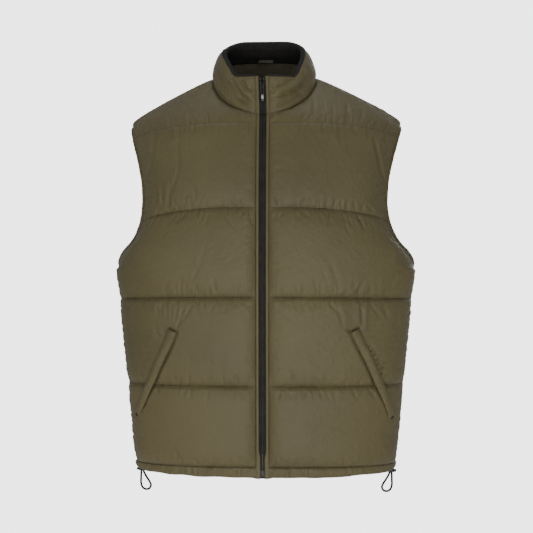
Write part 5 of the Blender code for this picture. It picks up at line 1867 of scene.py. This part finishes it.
def add_panels(finishes, front, back):
    """The two fronts and the back, with their quilting stitches."""
    made = {}
    jobs = (
        ("left", flipped(front), LEFT_CREASES, LEFT_PLEATS, 11),
        ("right", front, RIGHT_CREASES, RIGHT_PLEATS, 23),
        ("back", whole(back), BACK_CREASES, (), 37),
    )
    slits = {side: [welt_slit(side, turn)] for side, turn in SIDES}
    for side, grid, creases, pleats, seed in jobs:
        name = "back" if side == "back" else f"front_{side}"
        folds = (*in_metres(creases), *slits.get(side, ()))
        outer, inner, marks = padded_cloth(name, grid, folds, pleats, seed, side != "back")
        form = wall(outer, inner, cloth_uv(grid), marks)
        shell = piece(f"shell_{name}", form, finishes["quilted"], nodes=(name,))
        normals = facing_out(outer)
        lines = [
            stitched_line(outer[2 * grid.rows[row]], normals[2 * grid.rows[row]])
            for row in QUILT_ROWS
        ]
        sewing = piece(f"quilting_{name}", joined(lines), finishes["thread"])
        made[side] = (shell, sewing, grid, outer, normals)
    return made


def add_hems(finishes, front, back, rng):
    """The hem band below each panel's lowest row."""
    jobs = (("front_left", flipped(front)), ("front_right", front), ("back", whole(back)))
    for name, grid in jobs:
        top, out = (doubled(part[:2])[0] for part in (grid.base, grid.normals))
        form = hem_band(top, out, rng, name != "back")
        piece(f"hem_band_{name}", puckered(form, HEM_PUCKERED_FROM), finishes["quilted"],
              nodes=(f"hem_{name}",))


def add_armholes(finishes, front, back, rng):
    """The turned edge round each armhole."""
    edge, out, inside = half_binding(front, back)
    for side, turn in SIDES:
        form = puckered(binding(edge * turn, out * turn, inside * turn, rng), BINDING_PUCKERED_FROM)
        piece(f"armhole_edge_{side}", form, finishes["quilted"],
              nodes=(f"armhole_binding_{side}",))


def add_collar(finishes, rng):
    """The stand collar's shell and fleece, with its seam line, top line and outward directions."""
    foot, top, out = collar_lines(COLLAR_POINTS)
    shell = piece("collar_shell", wall(*collar_cloth(foot, top, out, rng)), finishes["quilted"],
                  nodes=("collar",))
    lining = piece("collar_fleece", swept(softened(lining_sections(foot, top, out), 1)),
                   finishes["pile"], nodes=("collar_lining",))
    return shell, lining, foot, top, out


def add_welts(finishes, panels, rng):
    """The two slanted pocket welts, with a bar of stitches at their lower ends."""
    for side, turn in SIDES:
        _, _, _, outer, normals = panels[side]
        sections, places, out = welt(outer, normals, side, turn, rng)
        form = puckered(swept(softened(sections)), WELT_PUCKERED_FROM)
        piece(f"welt_{side}", form, finishes["quilted"],
              nodes=(f"pocket_welt_{side}",))
        (before, place), facing = places[4, -4:-2], out[4, -3]
        tack = bar_tack(place + facing * TACK_LIFT, facing, unit(place - before))
        piece(f"welt_tacks_{side}", tack, finishes["thread"])


TAPE_HIDDEN_X = 0.0150  # the tape runs on behind the placket, where it is sewn to the front
PLACKET_LOW_X = 0.0032
PLACKET_LOW_Z = -0.6200
COIL_LOW_Z = -0.650
TEETH_LOW_Z = -0.651
TEETH_TOP_Z = -0.6270
BOX_HALF = ((0.0022, 0.0062), (0.0031, 0.0050), (0.0033, 0.0), (0.0033, -0.0052),
            (0.0026, -0.0062))
STOP_HALF = ((0.0008, 0.0015), (0.0011, 0.0012), (0.0011, -0.0012), (0.0008, -0.0015))


def add_zip(finishes, front, foot, top):
    """Plackets, tapes, coil, stops, slider and pull along the centre front."""
    line, forward = front_line(front, foot, top)
    low, high = np.array(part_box("zip_slider"))
    parted = ease((line[:, 2] - SLIDER_Z) / 0.011)
    tape_in = TAPE_IN_X + (TAPE_PARTED_X - TAPE_IN_X) * parted
    narrowed = ease((PLACKET_LOW_Z - line[:, 2]) / 0.014)
    inner_x = PLACKET_IN_X - (PLACKET_IN_X - PLACKET_LOW_X) * narrowed
    outer_x = FRONT_EDGE_X - SEAM_INSET
    for side, turn in SIDES:
        placket = strip(line, forward, (
            (inner_x + 0.0004, -0.0010), (inner_x, 0.0004), (inner_x + 0.0002, 0.0018),
            (inner_x + 0.0016, 0.0026), (outer_x - 0.0020, 0.0023), (outer_x - 0.0004, 0.0009),
            (outer_x, -0.0010)))
        piece(f"placket_strip_{side}", swept(softened(placket) * turn), finishes["shell"],
              nodes=(f"placket_{side}",))
        tape = strip(line, forward, (
            (tape_in, -0.0014), (tape_in + 0.0003, -0.0008), (tape_in + 0.0009, -0.0007),
            (tape_in + 0.0012, -0.0012), (tape_in + 0.0016, -0.0010), (tape_in + 0.0026, -0.0010),
            (tape_in + 0.0029, -0.0013), (TAPE_OUT_X, -0.0013), (TAPE_OUT_X + 0.0006, -0.0024),
            (TAPE_HIDDEN_X, -0.0025), (TAPE_HIDDEN_X, -0.0031), (tape_in, -0.0021)))
        piece(f"tape_{side}", swept(softened(tape, 1) * turn), finishes["tape"],
              nodes=(f"zip_tape_{side}",))

    heights = np.arange(COIL_LOW_Z, low[2] + 0.002, COIL_PITCH)
    place, out, up = along_line(line, forward, heights)
    axes = np.stack([np.broadcast_to(RIGHTWARD, out.shape), -out, up], axis=1)
    piece("zip_coil", repeated(coil_form(), place - out * 0.0026, axes), finishes["coil"])
    core = strip(line[line[:, 2] < low[2]], forward[line[:, 2] < low[2]], (
        (-0.0012, -0.0029), (0.0, -0.0027), (0.0012, -0.0029), (0.0012, -0.0035),
        (-0.0012, -0.0035)))
    piece("zip_coil_core", swept(softened(core, 1)), finishes["coil"])
    teeth = np.arange(TEETH_LOW_Z, TEETH_TOP_Z, COIL_PITCH)
    place, out, up = along_line(line, forward, teeth)
    aside = np.where(np.arange(len(teeth)) % 2, 0.00045, -0.00045)[:, None] * RIGHTWARD
    axes = np.stack([np.broadcast_to(RIGHTWARD, out.shape), out, up], axis=1)
    piece("zip_teeth", repeated(tooth_form(), place + aside - out * 0.0008, axes),
          finishes["pale_metal"])

    box_low, box_high = np.array(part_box("zip_box"))
    centre = (box_low + box_high) / 2
    outline = rounded_outline(mirrored_outline(BOX_HALF), 1)
    box = plate(outline, ((0.0010, 0.0003), (0.0008, 0.0), (-0.0007, 0.0), (-0.0010, 0.0006)))
    drop = np.array((0.0, 0.0, -0.0015))
    piece("zip_end_box", box._replace(points=box.points + centre + drop), finishes["coil"],
          nodes=("zip_box",))

    stops = []
    place, out, up = along_line(line, forward, np.array([high[2] + 0.0042]))
    for sign in (-1.0, 1.0):
        clamp = plate(mirrored_outline(STOP_HALF), ((0.0010, 0.0003), (0.0008, 0.0),
                                                    (-0.0008, 0.0), (-0.0010, 0.0003)))
        aside = np.array((sign * 0.0030, 0.0, 0.0))
        stops.append(clamp._replace(points=clamp.points + place[0] - out[0] * 0.0012 + aside))
    piece("zip_top_stops", joined(stops), finishes["dark_metal"])

    piece("slider_body", slider_form(low, high), finishes["dark_metal"],
          nodes=("zip_slider",))
    loop, block, tip = pull_forms(*np.array(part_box("zip_pull")))
    piece("pull_wire", loop, finishes["dark_metal"], body=PULL, nodes=("zip_pull",))
    piece("pull_block", block, finishes["pale_metal"], body=PULL)
    piece("pull_tip", tip, finishes["dark_metal"], body=PULL)


SEWN_ON = {
    side: (f"hem_band_front_{side}", f"armhole_edge_{side}", f"placket_strip_{side}",
           f"tape_{side}", f"welt_{side}", f"welt_tacks_{side}")
    for side in ("left", "right")
}
SEWN_ON["back"] = ("hem_band_back",)


def sheet_area(obj):
    """The cloth in a thin closed piece: half of its faces' area."""
    areas = np.empty(len(obj.data.polygons))
    obj.data.polygons.foreach_get("area", areas)
    return round(float(areas.sum()) / 2, 4)


def main():
    add_stage()
    add_lamps()
    add_camera()
    finishes = make_finishes()
    add_drawcords(finishes)
    front = half_panel(FRONT_ROWS, FRONT_NECK, FRONT_EDGE_X, FRONT_COLUMNS)
    back = half_panel(BACK_ROWS, BACK_NECK, 0.0, BACK_COLUMNS)
    rng = np.random.default_rng(5)
    panels = add_panels(finishes, front, back)
    add_hems(finishes, front, back, rng)
    add_armholes(finishes, front, back, rng)
    shell, lining, foot, top, out = add_collar(finishes, rng)
    add_zip(finishes, front, foot[0], top[0])
    add_welts(finishes, panels, rng)
    facing_form = back_facing(whole(back), foot, top, out)
    facing = piece("back_neck_facing", facing_form, finishes["facing"],
                   nodes=("neck_facing",))
    loop = piece("loop_hanger", hanger_loop(foot, top), finishes["loop"],
                 nodes=("hanger_loop",))
    for side in ("left", "right", "back"):
        obj, sewing, grid, _, _ = panels[side]
    around = reach_along(foot)[-1]
    tall = np.linalg.norm(top - foot, axis=1).max()
    for obj, flat, others in ((shell, (around, tall), []), (lining, (around, tall), []),
                              (facing, np.ptp(facing_form.uv, axis=0), [loop])):
        sheet_area(obj)


main()
